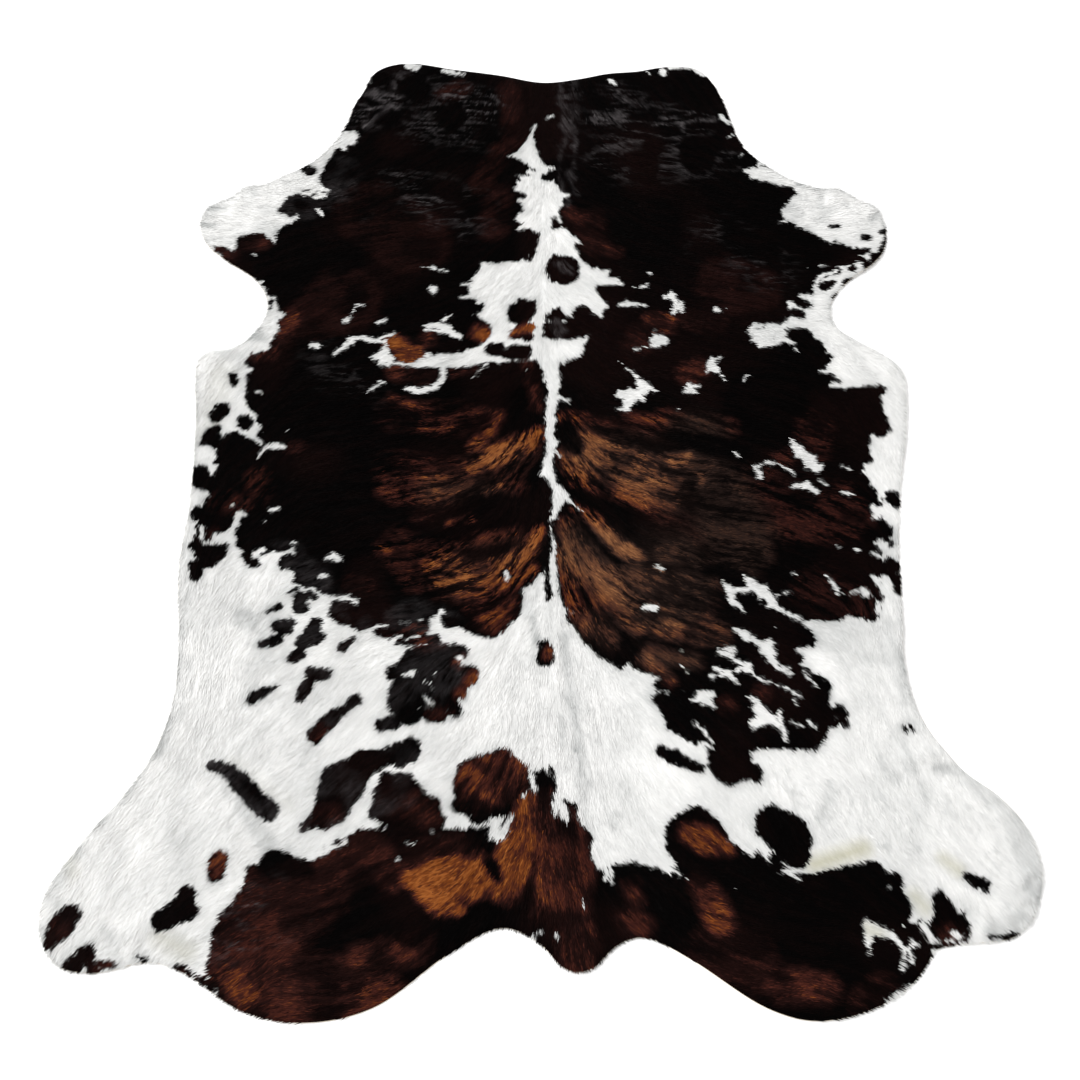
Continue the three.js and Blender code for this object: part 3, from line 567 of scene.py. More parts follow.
    (2, 225, 4, 4, 190, 3), (666, 478, 5, 640, 468, 5), (640, 468, 5, 616, 450, 5),
    (478, 282, 8, 500, 287, 8), (500, 288, 8, 530, 294, 7), (608, 312, 5, 622, 290, 6),
    (622, 290, 6, 628, 262, 4), (160, 155, 5, 186, 171, 5), (306, 395, 4, 308, 368, 5),
    (-704, -155, 6, -703, -180, 6), (-590, -215, 8, -572, -203, 5), (-78, -256, 4, -74, -266, 4),
    (-205, -338, 7, -212, -350, 6), (-88, -400, 12, -42, -354, 13), (-165, -430, 5, -155, -448, 6),
    (488, -338, 5, 514, -350, 4), (668, -265, 7, 681, -284, 6), (684, -286, 6, 687, -302, 5),
    (668, -337, 6, 672, -318, 6), (684, -110, 6, 690, -130, 6), (701, -77, 5, 702, -95, 4),
    (680, -25, 8, 690, -45, 5), (620, -292, 4, 648, -290, 4), (678, -188, 4, 690, -180, 4),
    (675, -212, 4, 690, -220, 5), (415, -266, 4, 450, -292, 5), (455, -300, 6, 462, -312, 5),
    (350, -420, 5, 372, -430, 5), (395, -438, 6, 404, -444, 5), (56, -374, 8, 74, -400, 8),
    (104, -437, 8, 140, -458, 7), (30, -300, 4, 36, -320, 4), (415, -520, 5, 430, -540, 5),
    (-22, -660, 6, -20, -688, 6), (-430, -810, 8, -400, -798, 8), (-400, -798, 8, -370, -784, 6),
    (18, -716, 5, 24, -735, 4), (112, -838, 8, 114, -850, 6), (230, -815, 8, 236, -825, 6),
    (354, -777, 8, 386, -804, 9), (442, -836, 5, 466, -850, 4), (682, -928, 7, 697, -956, 6),
    (738, -945, 6, 750, -954, 5),
]

# Small dark marks, laid over the white ones.
SPOT_STROKES = [
    (-46, 388, 15, -52, 362, 27), (-53, 364, 29, -34, 376, 22), (-22, 390, 8, -30, 372, 18),
    (-65, 310, 12, -44, 320, 17), (-44, 320, 17, -26, 329, 9), (-38, 301, 9, -30, 303, 9),
    (-196, 346, 15, -166, 332, 26), (-166, 336, 28, -140, 318, 25), (-160, 300, 20, -140, 306, 20),
    (-214, 285, 22, -180, 282, 16), (-180, 284, 14, -150, 290, 14), (-328, 286, 16, -300, 262, 24),
    (-300, 262, 24, -282, 262, 19), (-236, 290, 24, -218, 280, 22), (-115, 270, 16, -98, 270, 16),
    (-64, 266, 20, -44, 264, 19), (-290, 206, 20, -250, 200, 18), (-205, 210, 10, -150, 226, 8),
    (20, 492, 12, 44, 480, 31), (28, 361, 12, 24, 350, 12), (30, 362, 13, 39, 374, 5),
    (26, 622, 6, 30, 612, 7), (598, -975, 15, 622, -984, 17), (-560, 766, 12, -549, 760, 14),
    (-566, 702, 3, -548, 703, 3), (667, 601, 5, 683, 600, 6), (738, 570, 7, 750, 570, 7),
    (782, 586, 5, 788, 586, 6), (668, 560, 4, 671, 559, 4), (6, 740, 10, 19, 740, 11),
    (732, 534, 6, 744, 534, 7), (701, 484, 8, 706, 480, 8), (750, 516, 5, 754, 519, 5),
    (725, 486, 2, 745, 498, 3), (634, 436, 11, 655, 444, 8), (588, 393, 9, 592, 386, 10),
    (561, 368, 12, 574, 362, 11), (-608, 392, 6, -610, 376, 4), (-676, 204, 9, -672, 190, 10),
    # Its third stroke is a dark line of painted shadow along the right belly's edge.
    # On the next line the second stroke is painted shadow in the crease down the backbone.
    (-176, 353, 9, -152, 352, 10), (7, -232, 3.5, 9, -313, 5), (714, -276, 6, 716, -296, 6),
    (-386, -785, 5, -380, -783, 5), (702, -967, 2, 758, -957, 3), (-688, 560, 16, -650, 562, 18),
    (-60, 690, 11, -46, 688, 9), (-60, 742, 5, -54, 730, 3), (28, 596, 7, 40, 604, 6),
    (-72, 507, 4, -30, 510, 6), (-30, 510, 6, -16, 540, 3), (-87, 256, 4, -72, 250, 4),
    (-42, 342, 3, -28, 350, 6), (-632, 440, 5, -612, 412, 4), (45, 479, 38, 46, 483, 37),
    (24, 512, 8, 24, 498, 14), (24, 452, 7, 30, 460, 10), (78, 548, 8, 92, 518, 9),
    (92, 518, 9, 118, 492, 9), (118, 492, 8, 146, 486, 4), (40, 352, 6, 60, 350, 6),
    (8, 348, 6, 14, 358, 5), (566, 404, 11, 588, 382, 7), (556, 408, 6, 575, 415, 5),
    (705, 174, 8, 730, 168, 13), (718, 62, 7, 735, 72, 8), (692, 52, 6, 690, 40, 5),
    (776, 532, 3, 752, 508, 7), (604, 484, 3, 668, 487, 3), (722, 508, 9, 732, 506, 7),
    (722, 532, 9, 728, 526, 7), (38, 232, 5, 36, 205, 4), (28, 90, 3, 26, 60, 4), (1, 50, 4, 0, 12, 6),
    (190, 182, 7, 200, 178, 5), (-628, -158, 6, -624, -190, 6), (-330, -356, 4, -250, -353, 3),
    (-235, -470, 7, -215, -480, 5), (-222, -465, 6, -212, -490, 3), (-245, -510, 10, -232, -525, 8),
    (-160, -456, 8, -132, -458, 6), (716, -185, 6, 712, -190, 5), (704, -226, 5, 722, -234, 5),
    (708, -268, 5, 710, -290, 4), (600, -301, 3, 640, -303, 3), (685, -208, 5, 688, -210, 4),
    (437, -310, 5, 445, -316, 5), (428, -388, 6, 440, -392, 5), (460, -405, 4, 462, -430, 4),
    (462, -430, 4, 478, -450, 3), (352, -410, 4, 356, -408, 4), (380, -424, 4, 392, -436, 3),
    (375, -465, 5, 398, -470, 7), (542, -2, 6, 546, -14, 5), (14, -60, 3, 14, -112, 3),
    (22, -142, 4, 22, -180, 4), (-140, -760, 3, -105, -762, 4), (-190, -745, 8, -202, -772, 8),
    (-345, -766, 4, -300, -763, 6), (96, -838, 6, 104, -842, 5), (236, -846, 6, 256, -852, 5),
    (395, -810, 7, 424, -838, 7), (440, -815, 5, 455, -826, 4), (652, -960, 6, 656, -930, 7),
    (712, -958, 4, 726, -947, 5),
]

# Warmth of the dark hair: strokes as above, then how warm it is: 0 black, 0.4 red-brown, 0.7 rust, 1 tan.
WARM_STROKES = [
    # orange and brown brindle left of the backbone
    (-8, 62, 14, -32, 44, 24, 0.85), (-32, 44, 24, -72, 24, 30, 0.85), (-72, 24, 30, -112, 2, 26, 0.85),
    (-112, 2, 26, -152, -22, 14, 0.72), (-94, 110, 8, -110, 74, 13, 0.42),
    (-110, 74, 13, -150, 32, 13, 0.46), (-330, 150, 8, -296, 138, 10, 0.44),
    (-296, 138, 10, -242, 114, 9, 0.5), (-300, 86, 10, -230, 70, 11, 0.34),
    (-230, 70, 11, -190, 76, 10, 0.34), (-190, 112, 8, -122, 116, 8, 0.36), (-330, -6, 6, -250, 0, 7, 0.44),
    (-250, 0, 7, -152, -10, 6, 0.46), (-312, -36, 7, -200, -40, 8, 0.46),
    (-226, -58, 8, -220, -86, 9, 0.56), (-216, -82, 6, -158, -70, 5, 0.42),
    (-120, -68, 9, -86, -56, 9, 0.52), (-86, -56, 8, -58, -38, 6, 0.46), (-28, 22, 18, -62, -42, 16, 0.36),
    (-332, -70, 18, -290, -76, 16, 0.26), (-194, -145, 3, -150, -133, 5, 0.66),
    (-262, -136, 8, -230, -130, 5, 0.26), (-200, -192, 12, -60, -168, 14, 0.24),
    (-8, -160, 9, -28, -196, 18, 0.86), (-28, -196, 18, -60, -234, 20, 0.86),
    (-60, -234, 20, -92, -262, 18, 0.72), (-216, -214, 12, -182, -226, 12, 0.52),
    (-238, -236, 13, -208, -240, 11, 0.62), (-216, -276, 15, -150, -270, 20, 0.76),
    (-150, -270, 20, -108, -268, 18, 0.7), (-152, -248, 14, -92, -238, 16, 0.5),
    (-122, -302, 17, -62, -272, 16, 0.6), (-62, -272, 16, -26, -248, 14, 0.5),
    (-134, -334, 18, -80, -346, 20, 0.4), (-80, -346, 18, -60, -320, 16, 0.38),
    (-140, -326, 9, -112, -330, 8, 0.56), (-212, -300, 12, -150, -306, 11, 0.36),
    (-302, -226, 20, -262, -272, 24, 0.2), (-332, -200, 13, -318, -206, 12, 0.42),
    (-380, -280, 20, -360, -285, 16, 0.24), (-300, -378, 30, -230, -375, 26, 0.3),
    (-240, -402, 14, -200, -396, 14, 0.32), (-32, 230, 16, -12, 130, 12, 0.2),
    (-320, 216, 24, -242, 200, 16, 0.24), (-200, 215, 12, -150, 222, 10, 0.2),
    (-320, 110, 40, -180, 100, 40, 0.18), (-320, -20, 40, -180, -40, 44, 0.2),
    (-300, -70, 36, -200, -80, 30, 0.2), (-110, -30, 34, -60, -54, 26, 0.18),
    (-300, -190, 36, -200, -250, 50, 0.14), (-210, -285, 18, -110, -292, 24, 0.56),
    (-180, -246, 12, -100, -240, 16, 0.5), (-146, -332, 12, -100, -345, 26, 0.4),
    (-104, -352, 26, -80, -372, 18, 0.32),
    # patches on the left shoulder
    (-328, 286, 22, -300, 262, 30, 0.78), (-290, 262, 26, -276, 262, 22, 0.74),
    (-256, 300, 18, -262, 286, 16, 0.4), (-140, 316, 22, -128, 306, 18, 0.44),
    (-66, 312, 12, -26, 328, 16, 0.74),
    # red-brown beside the blaze and down the left edge
    (-84, 1010, 26, -66, 860, 30, 0.1), (-104, 820, 24, -146, 720, 26, 0.12),
    (-100, 690, 30, -120, 600, 40, 0.1), (-200, 1010, 26, -240, 990, 24, 0.13),
    (-560, 360, 22, -570, 300, 22, 0.26), (-600, 262, 16, -640, 258, 14, 0.4),
    (-670, 562, 26, -650, 560, 26, 0.16), (-740, 535, 20, -715, 525, 20, 0.14),
    (-600, -40, 26, -590, -70, 26, 0.22), (-680, -95, 20, -620, -105, 22, 0.22),
    (-400, 640, 90, -300, 560, 90, 0.06), (-540, 35, 14, -520, 30, 12, 0.16),
    (-700, -170, 16, -680, -170, 12, 0.18), (-450, 400, 90, -520, 350, 60, 0.08),
    # right of the backbone
    (62, 640, 16, 84, 612, 18, 0.24), (110, 610, 40, 124, 560, 40, 0.12),
    (146, 540, 16, 172, 530, 12, 0.24), (240, 345, 20, 280, 345, 18, 0.5),
    (256, 320, 16, 280, 322, 14, 0.5), (220, 300, 40, 200, 280, 30, 0.14),
    (380, 345, 30, 330, 350, 30, 0.16), (320, 210, 30, 340, 220, 26, 0.2),
    (420, 440, 80, 480, 430, 60, 0.07), (40, 106, 10, 110, 96, 12, 0.52), (110, 96, 12, 150, 82, 9, 0.5),
    (84, 52, 22, 150, 10, 36, 0.46), (150, 10, 36, 205, -10, 30, 0.42), (48, -6, 14, 70, -46, 17, 0.58),
    (70, -46, 17, 112, -72, 14, 0.54), (256, -10, 20, 302, 6, 13, 0.56), (226, -50, 20, 280, -56, 26, 0.56),
    (200, -104, 8, 216, -110, 8, 0.62), (212, -86, 20, 272, -92, 20, 0.42),
    (180, 100, 16, 262, 94, 14, 0.32), (262, 100, 24, 400, 80, 20, 0.2), (172, 68, 12, 240, 60, 14, 0.26),
    (66, -106, 7, 108, -140, 13, 0.62), (108, -140, 13, 158, -190, 22, 0.62),
    (158, -190, 22, 190, -216, 18, 0.58), (48, -150, 18, 76, -226, 40, 0.46),
    (76, -226, 40, 130, -300, 46, 0.5), (130, -300, 46, 190, -352, 30, 0.44),
    (58, -330, 13, 90, -372, 14, 0.54), (90, -372, 14, 132, -412, 12, 0.5),
    (236, -250, 8, 239, -256, 7, 0.74), (216, -326, 7, 258, -334, 12, 0.68),
    (262, -334, 10, 330, -342, 10, 0.48), (228, -376, 16, 340, -386, 16, 0.36),
    (212, -422, 14, 300, -440, 14, 0.2), (300, -386, 20, 360, -390, 14, 0.3),
    (250, -200, 30, 340, -212, 22, 0.16), (310, -230, 8, 345, -232, 6, 0.46),
    (280, -130, 60, 400, -180, 70, 0.12), (300, -20, 40, 380, -60, 50, 0.14),
    (420, -210, 50, 430, -60, 50, 0.12), (205, -436, 14, 246, -478, 10, 0.42),
    (520, -100, 90, 620, -120, 70, 0.15), (580, 80, 40, 570, 30, 40, 0.14),
    (500, -20, 40, 520, 0, 30, 0.16), (560, -300, 60, 640, -310, 40, 0.12),
    (350, -530, 16, 360, -526, 14, 0.2), (420, -505, 14, 430, -500, 14, 0.14),
    (50, 12, 18, 104, -48, 26, 0.6), (64, 52, 8, 112, -12, 20, 0.5), (40, 100, 12, 140, 84, 14, 0.5),
    (100, -22, 30, 200, -76, 30, 0.42), (140, -62, 26, 250, -92, 28, 0.38),
    (268, -20, 26, 320, -44, 22, 0.34), (40, -200, 16, 60, -320, 20, 0.42),
    (70, -320, 20, 128, -392, 18, 0.46), (170, -262, 26, 340, -300, 36, 0.22),
    (212, -350, 18, 350, -382, 22, 0.38), (70, 60, 14, 110, 20, 30, 0.5), (130, 30, 30, 220, -20, 26, 0.42),
    # spots on the loin
    (-440, -592, 18, -428, -580, 14, 0.24), (-430, -748, 30, -400, -745, 28, 0.22),
    (-165, -438, 12, -168, -440, 10, 0.4), (-140, -480, 16, -130, -468, 14, 0.34),
    (-160, -505, 14, -150, -505, 12, 0.34), (-206, -545, 20, -190, -548, 16, 0.5),
    (10, -420, 8, 8, -424, 8, 0.5),
    # rump and tail
    (-270, -700, 40, -220, -720, 40, 0.16), (-120, -680, 50, -70, -650, 46, 0.36),
    (-560, -900, 60, -570, -1000, 60, 0.17), (-560, -1015, 24, -520, -1050, 24, 0.32),
    (-500, -890, 70, -440, -860, 60, 0.11), (-480, -1040, 60, -380, -1060, 40, 0.19),
    (-330, -985, 26, -230, -965, 30, 0.22), (-430, -1004, 26, -320, -1000, 22, 0.2),
    (-480, -950, 50, -420, -900, 50, 0.16), (-340, -1060, 40, -290, -1040, 40, 0.26),
    (-400, -850, 60, -300, -840, 50, 0.16), (-250, -848, 16, -200, -855, 40, 0.8),
    (-200, -855, 42, -130, -845, 40, 0.8), (-130, -845, 34, -90, -850, 26, 0.76),
    (-190, -892, 22, -160, -894, 16, 0.78), (-30, -700, 14, -45, -770, 26, 0.66),
    (-45, -770, 30, -70, -860, 34, 0.72), (40, -760, 34, 50, -850, 44, 0.22),
    (50, -850, 44, 40, -920, 40, 0.2), (60, -960, 40, 60, -1000, 30, 0.34),
    (-150, -790, 26, -240, -810, 24, 0.14), (-420, -800, 40, -330, -800, 40, 0.12),
    (268, -766, 16, 300, -784, 26, 0.56), (300, -784, 26, 335, -790, 18, 0.5),
    (290, -862, 24, 318, -925, 28, 0.38), (0, -700, 12, 4, -900, 26, 0.3),
    (500, -1035, 24, 420, -1030, 30, 0.28), (160, -872, 22, 170, -885, 14, 0.24),
    (150, -925, 24, 180, -930, 20, 0.2), (360, -1000, 60, 300, -980, 50, 0.12),
    (600, -1040, 30, 560, -1060, 24, 0.14), (730, -948, 16, 745, -952, 12, 0.26),
    # spots on the hind legs
    (-878, -946, 26, -884, -962, 16, 0.16), (-606, -828, 20, -598, -818, 20, 0.33),
    (-640, -1015, 14, -610, -1028, 14, 0.24), (-790, -1000, 14, -770, -992, 12, 0.16),
]

# Painted shade on white hair in creases, along the backbone and along the rim, and how much.
PAINTED_SHADE_STROKES = [
    # beside the backbone
    (-22, -345, 5, -14, -395, 7, 0.5), (-25, -285, 6, -8, -252, 5, 0.3), (-32, -335, 9, -12, -300, 8, 0.22),
    (45, -385, 8, 44, -470, 9, 0.42), (44, -470, 9, 58, -525, 9, 0.3), (60, -525, 10, 66, -612, 11, 0.36),
    (36, -545, 3, 34, -602, 3, 0.4), (70, -620, 12, 76, -700, 14, 0.2), (10, -318, 7, 10, -372, 7, 0.12),
    # right side and hind leg
    (560, -385, 30, 690, -400, 50, 0.2), (694, -360, 10, 702, -520, 10, 0.25),
    (600, -430, 20, 620, -520, 20, 0.12), (690, -602, 9, 700, -650, 12, 0.25),
    (745, -650, 8, 790, -652, 13, 0.4), (800, -672, 10, 850, -720, 10, 0.25),
    (872, -745, 20, 896, -870, 18, 0.25), (800, -935, 16, 860, -915, 14, 0.25),
    (545, -690, 16, 520, -740, 12, 0.2), (720, -700, 12, 690, -750, 12, 0.16),
    (640, -640, 16, 660, -670, 14, 0.16), (760, -890, 14, 780, -920, 12, 0.2),
    # left side and hind leg
    (-830, -900, 50, -780, -850, 60, 0.05), (-560, -560, 60, -600, -660, 60, 0.04),
    (-716, -300, 8, -716, -500, 8, 0.16), (-700, -440, 8, -690, -500, 8, 0.14),
    (-720, -560, 8, -734, -622, 11, 0.46), (-752, -640, 9, -792, -704, 10, 0.3),
    (-818, -744, 8, -836, -758, 8, 0.4), (-850, -790, 9, -890, -860, 11, 0.25),
    (-893, -880, 14, -880, -900, 12, 0.2), (-566, -708, 12, -516, -786, 20, 0.3),
    (-570, -720, 8, -600, -690, 8, 0.2), (-590, -640, 10, -540, -570, 20, 0.12),
    (-690, -760, 20, -660, -820, 20, 0.1), (-800, -930, 10, -770, -955, 10, 0.2),
    (-600, -350, 20, -580, -360, 20, 0.3), (-668, -960, 20, -620, -985, 16, 0.2),
    # shanks
    (-772, 646, 9, -742, 652, 9, 0.36), (-786, 606, 6, -764, 603, 5, 0.5),
    (-680, 702, 6, -680, 690, 6, 0.25), (-650, 600, 24, -620, 592, 20, 0.22),
    (-770, 560, 9, -740, 566, 9, 0.16), (-612, 732, 7, -600, 726, 7, 0.22),
    (-650, 650, 12, -640, 620, 10, 0.14), (602, 722, 7, 614, 717, 7, 0.5), (640, 711, 5, 650, 707, 5, 0.35),
    (696, 705, 5, 702, 702, 5, 0.6), (652, 694, 4, 648, 665, 5, 0.34), (652, 656, 4, 682, 648, 4, 0.3),
    (700, 662, 4, 706, 648, 4, 0.26), (756, 623, 8, 772, 634, 6, 0.42), (580, 652, 18, 592, 632, 18, 0.25),
    (790, 652, 5, 796, 602, 5, 0.5), (660, 640, 12, 620, 600, 14, 0.14),
    (-640, 310, 20, -620, 300, 14, 0.4), (690, 250, 14, 720, 180, 12, 0.16),
    (-690, 262, 16, -660, 240, 12, 0.12), (560, 790, 10, 590, 745, 9, 0.2),
]

# White hair that lies in small curls, drawn with wavy grey lines of painted shade, and how strongly.
CURLED = [
    (-60, -500, 60, -200, -560, 60, 0.8), (120, -480, 80, 90, -740, 70, 1.0),
    (500, -700, 80, 780, -760, 90, 1.0), (-560, -420, 60, -500, -620, 60, 0.7),
    (-480, -620, 40, -300, -780, 40, 0.8), (700, -860, 60, 830, -880, 60, 0.8),
]

# Black islands within the brindle, and how black.
COOL_STROKES = [
    (-100, -822, 13, -86, -846, 12, 1.0), (-212, -256, 7, -184, -258, 8, 0.9),
    (44, 70, 22, 66, 34, 24, 0.95), (78, -80, 14, 112, -96, 12, 0.95), (172, -140, 26, 208, -176, 30, 0.95),
    (248, -4, 10, 256, -22, 12, 0.8), (300, -66, 16, 326, -90, 12, 0.7),
    (290, -310, 16, 320, -330, 14, 0.8), (-130, 60, 5, -105, 42, 8, 0.7), (150, 60, 18, 200, 56, 14, 0.6),
    (230, -300, 18, 260, -290, 18, 0.6), (-160, -230, 5, -110, -215, 7, 0.6),
    (-70, -700, 12, -40, -690, 10, 0.5), (-140, -715, 14, -90, -730, 12, 0.8),
    (-130, -640, 10, -110, -650, 12, 0.6), (-320, -890, 34, -236, -940, 30, 0.9),
    (-450, -920, 30, -380, -940, 40, 0.4), (-430, -1000, 20, -330, -1020, 16, 0.6),
    (300, -830, 20, 340, -850, 20, 0.8), (-500, -820, 30, -440, -830, 20, 0.9),
]

# Dark hair pressed or lifted so that it catches the light, and how much.
SHEEN_STROKES = [
    (-361, 944, 5, -404, 992, 5, 0.5), (-375, 955, 6, -424, 900, 6, 0.55),
    (-335, 990, 4, -372, 1030, 4, 0.3), (50, 1040, 3, 49, 620, 3, 0.3), (78, 1040, 3, 74, 700, 3, 0.3),
    (60, 940, 14, 62, 860, 12, 0.2), (40, 488, 8, 54, 478, 14, 0.25), (30, 336, 12, 46, 316, 16, 0.5),
    (-655, -645, 30, -556, -730, 30, 0.17), (-560, -560, 110, -500, -330, 110, 0.08),
    (-536, -226, 50, -500, -300, 60, 0.06), (-330, -480, 110, -250, -420, 110, 0.07),
    (-440, -710, 80, -290, -640, 80, 0.09), (-568, 675, 60, -490, 732, 70, 0.07),
]

# Dark hair that lies in small crimps, most of it on the neck, and how strongly.
CRIMPED = [
    (-340, 1020, 30, -150, 950, 44, 1.0), (-430, 930, 30, -370, 1010, 36, 1.0),
    (-300, 900, 40, -150, 870, 36, 0.4), (120, 850, 30, 420, 830, 40, 0.55),
    (140, 770, 30, 430, 780, 30, 0.4), (110, 920, 40, 400, 900, 44, 0.6),
    (180, 1000, 30, 220, 960, 30, 0.35), (-330, 720, 50, -180, 640, 60, 0.4),
    (-500, 700, 30, -440, 660, 30, 0.3), (60, 1000, 16, 60, 800, 16, 0.4),
    (-480, 240, 40, -380, 180, 40, 0.2), (-560, -930, 50, -480, -900, 40, 0.4),
    (400, 560, 60, 520, 480, 50, 0.25),
]

# White hair that has yellowed a little, and how much.
CREAM_STROKES = [
    (498, -824, 12, 590, -796, 12, 0.95), (735, -814, 6, 760, -834, 8, 0.8),
    (674, -880, 8, 690, -900, 8, 0.7), (580, -935, 8, 600, -945, 8, 0.7),
    (-690, -950, 12, -640, -975, 16, 0.35), (-868, -822, 6, -860, -840, 6, 0.3),
    (-640, -60, 10, -650, -120, 14, 0.3), (-590, -640, 10, -480, -720, 12, 0.12),
    (-700, 210, 30, -716, 60, 20, 0.12),
]

# Dark hair that is duller and greyer, and how much.
DUN_STROKES = [
    (90, 20, 50, 300, -40, 90, 0.5), (80, -200, 60, 240, -270, 120, 0.62),
    (110, -380, 50, 340, -380, 60, 0.4), (200, -430, 26, 290, -440, 36, 0.6),
    (-60, 10, 40, -130, -10, 40, 0.22), (-40, -200, 30, -180, -260, 50, 0.22),
    (330, 60, 60, 400, -200, 80, 0.6), (-110, -66, 30, -230, -70, 30, 0.4),
]

# The lie of the hair: x, y and the way that it points, in degrees; rows at x 0 count for both sides.
LIE = [
    (0, 1000, -90), (0, 750, -90), (0, 520, -88), (0, 300, -89), (0, 100, -88), (0, -100, -88),
    (0, -300, -90), (0, -500, -90), (0, -700, -90), (0, -900, -90), (-90, 980, 245), (-230, 980, 232),
    (-390, 980, 236), (-100, 800, 226), (-300, 800, 208), (-430, 820, 222), (-100, 620, 205),
    (-300, 620, 192), (-520, 620, 190), (-700, 650, 178), (-780, 600, 184), (-620, 500, 200),
    (-80, 460, 228), (-220, 440, 200), (-430, 420, 196), (-580, 380, 214), (-80, 300, 222),
    (-260, 280, 192), (-480, 250, 198), (-680, 230, 236), (-60, 150, 228), (-170, 130, 196),
    (-260, 120, 180), (-420, 120, 186), (-680, 110, 244), (-50, 0, 228), (-160, -10, 200), (-260, 0, 186),
    (-420, -20, 188), (-620, -20, 228), (-725, -20, 262), (-50, -180, 236), (-170, -200, 210),
    (-300, -150, 192), (-430, -190, 200), (-600, -190, 224), (-725, -200, 266), (-36, -240, 232),
    (-64, -330, 226), (-150, -280, 192), (-230, -340, 196), (-300, -290, 190), (-430, -350, 210),
    (-620, -350, 246), (-725, -400, 268), (-60, -520, 258), (-220, -520, 232), (-430, -520, 228),
    (-650, -560, 250), (-60, -680, 252), (-220, -680, 218), (-430, -700, 222), (-620, -720, 232),
    (-80, -820, 240), (-230, -850, 205), (-450, -900, 196), (-400, -1040, 186), (-560, -980, 208),
    (-680, -880, 226), (-830, -920, 236), (70, 980, -68), (230, 980, -52), (380, 980, -60), (100, 800, -40),
    (300, 800, -18), (440, 820, -44), (100, 620, -28), (300, 620, -14), (500, 620, -12), (680, 650, 2),
    (770, 590, -8), (640, 480, -16), (80, 460, -38), (220, 440, -16), (430, 420, -14), (560, 380, -30),
    (80, 300, -38), (260, 280, -20), (480, 250, -16), (680, 230, -50), (50, 150, -44), (160, 130, -14),
    (400, 120, -14), (700, 110, -60), (50, 0, -58), (160, -30, -22), (330, -30, -7), (600, -20, -10),
    (725, -20, -76), (50, -150, -64), (110, -180, -54), (220, -200, -24), (420, -190, -9), (620, -190, -18),
    (725, -200, -84), (60, -320, -66), (170, -340, -36), (330, -340, -16), (500, -340, -34),
    (700, -350, -80), (60, -520, -76), (230, -520, -42), (430, -520, -38), (650, -560, -72),
    (60, -680, -78), (230, -700, -50), (430, -720, -60), (650, -720, -66), (50, -840, -80),
    (160, -870, -46), (330, -900, -22), (500, -960, -14), (420, -1040, -6), (620, -940, -36),
    (720, -880, -62), (860, -880, -52),
]

# Hair colours as parts of 255, and how they follow one another from cold to warm hair.
BLACK = (3, 2, 2)
DEEP_BROWN = (32, 15, 13)
RED_BROWN = (67, 32, 25)
RUST = (112, 58, 25)
TAN = (147, 86, 40)
WHITE = (233, 232, 230)
# White hair in painted shade: the tone blends white towards it.
WHITE_SHADE = (170, 172, 171)
CREAM = (178, 175, 153)
DUN_SHADE = (40, 31, 27)
DUN = (92, 65, 48)
DUN_TIP = (146, 106, 74)
# The grey of painted sheen on dark hair.
SHEEN_GREY = (100, 95, 96)
WARM_COLOURS = ((0, BLACK), (0.18, DEEP_BROWN), (0.38, RED_BROWN), (0.66, RUST), (0.95, TAN))
DUN_COLOURS = ((0, BLACK), (0.16, DUN_SHADE), (0.5, DUN), (1, DUN_TIP))

# How far from a dark or white stroke its depth is still told, and how soft the other strokes' edges are.
FADE = 40.0
WARM_EDGE, COOL_EDGE, DUN_EDGE, CREAM_EDGE = 20.0, 12.0, 50.0, 30.0
SHEEN_EDGE, CRIMP_EDGE, CURL_EDGE, PAINTED_SHADE_EDGE = 12.0, 60.0, 60.0, 14.0

# Noise drawn out along the hair: the size of its bumps, its reach to either side and its seed.
FINE, BROAD, BANDS, TUFTS = (3.2, 15, 21), (5.5, 44, 22), (13, 90, 23), (5.0, 18, 51)

# How the strokes' edges wander, in two layers: the height and the size of the bumps.
RAGGED = ((1.8, 15), (0.9, 5))
DRIFTING = ((6, 45), (3, 16))

# Brindle is strongest this far along the hide and fades over this distance towards both ends.
BRINDLE_MIDDLE, BRINDLE_REACH = -130.0, 330.0

# How far each row of the lie of the hair is felt, across and along the hide, and how sharply that ends.
LIE_ACROSS, LIE_ALONG, LIE_SOFTNESS, LIE_FALL = 90.0, 110.0, 0.03, 1.6

# The hair's usual lightness, and what painted curl and rim shade and thin hair by dark markings take off.
USUAL_TONE, CURL_SHADE, RIM_SHADE, THIN_SHADE, THIN_REACH = 0.70, 0.26, 0.24, 0.26, 15.0

# How brightly crimped hair shines.
CRIMP_LIGHT = 0.72


def streaks(x, y, way, cell, reach, seed):
    """Noise drawn out along the lie of the hair, about -1 to 1: what makes locks and brindle."""
    total = np.zeros_like(x)
    steps = np.arange(-reach, reach, 0.8 * cell)
    for step in steps:
        total += lattice(x + step * np.cos(way), y + step * np.sin(way), cell, seed)
    return total / (len(steps) ** 0.5 * 1.2)


def wander(x, y, layers, seed):
    """How far an edge wanders, in millimetres."""
    return sum(high * lattice(x, y, cell, seed + 2 * k) for k, (high, cell) in enumerate(layers))


def wavy_lines(x, y, cell, seed, thin):
    """Short wavy lines: 1 along them and 0 between them."""
    return np.clip(1 - thin * np.abs(lattice(x, y, cell, seed)), 0, 1)


def patchy(x, y, cell, seed, middle, swing, least=0.0, most=1.0):
    """Noise about a middle value, kept between a least and a most."""
    return np.clip(middle + swing * lattice(x, y, cell, seed), least, most)


def near_stroke(stroke, x, y, margin):
    """The places that a stroke can touch."""
    ax, ay, ra, bx, by, rb = stroke[:6]
    room = max(ra, rb) + margin
    wide = (x > min(ax, bx) - room) & (x < max(ax, bx) + room)
    return np.nonzero(wide & (y > min(ay, by) - room) & (y < max(ay, by) + room))[0]


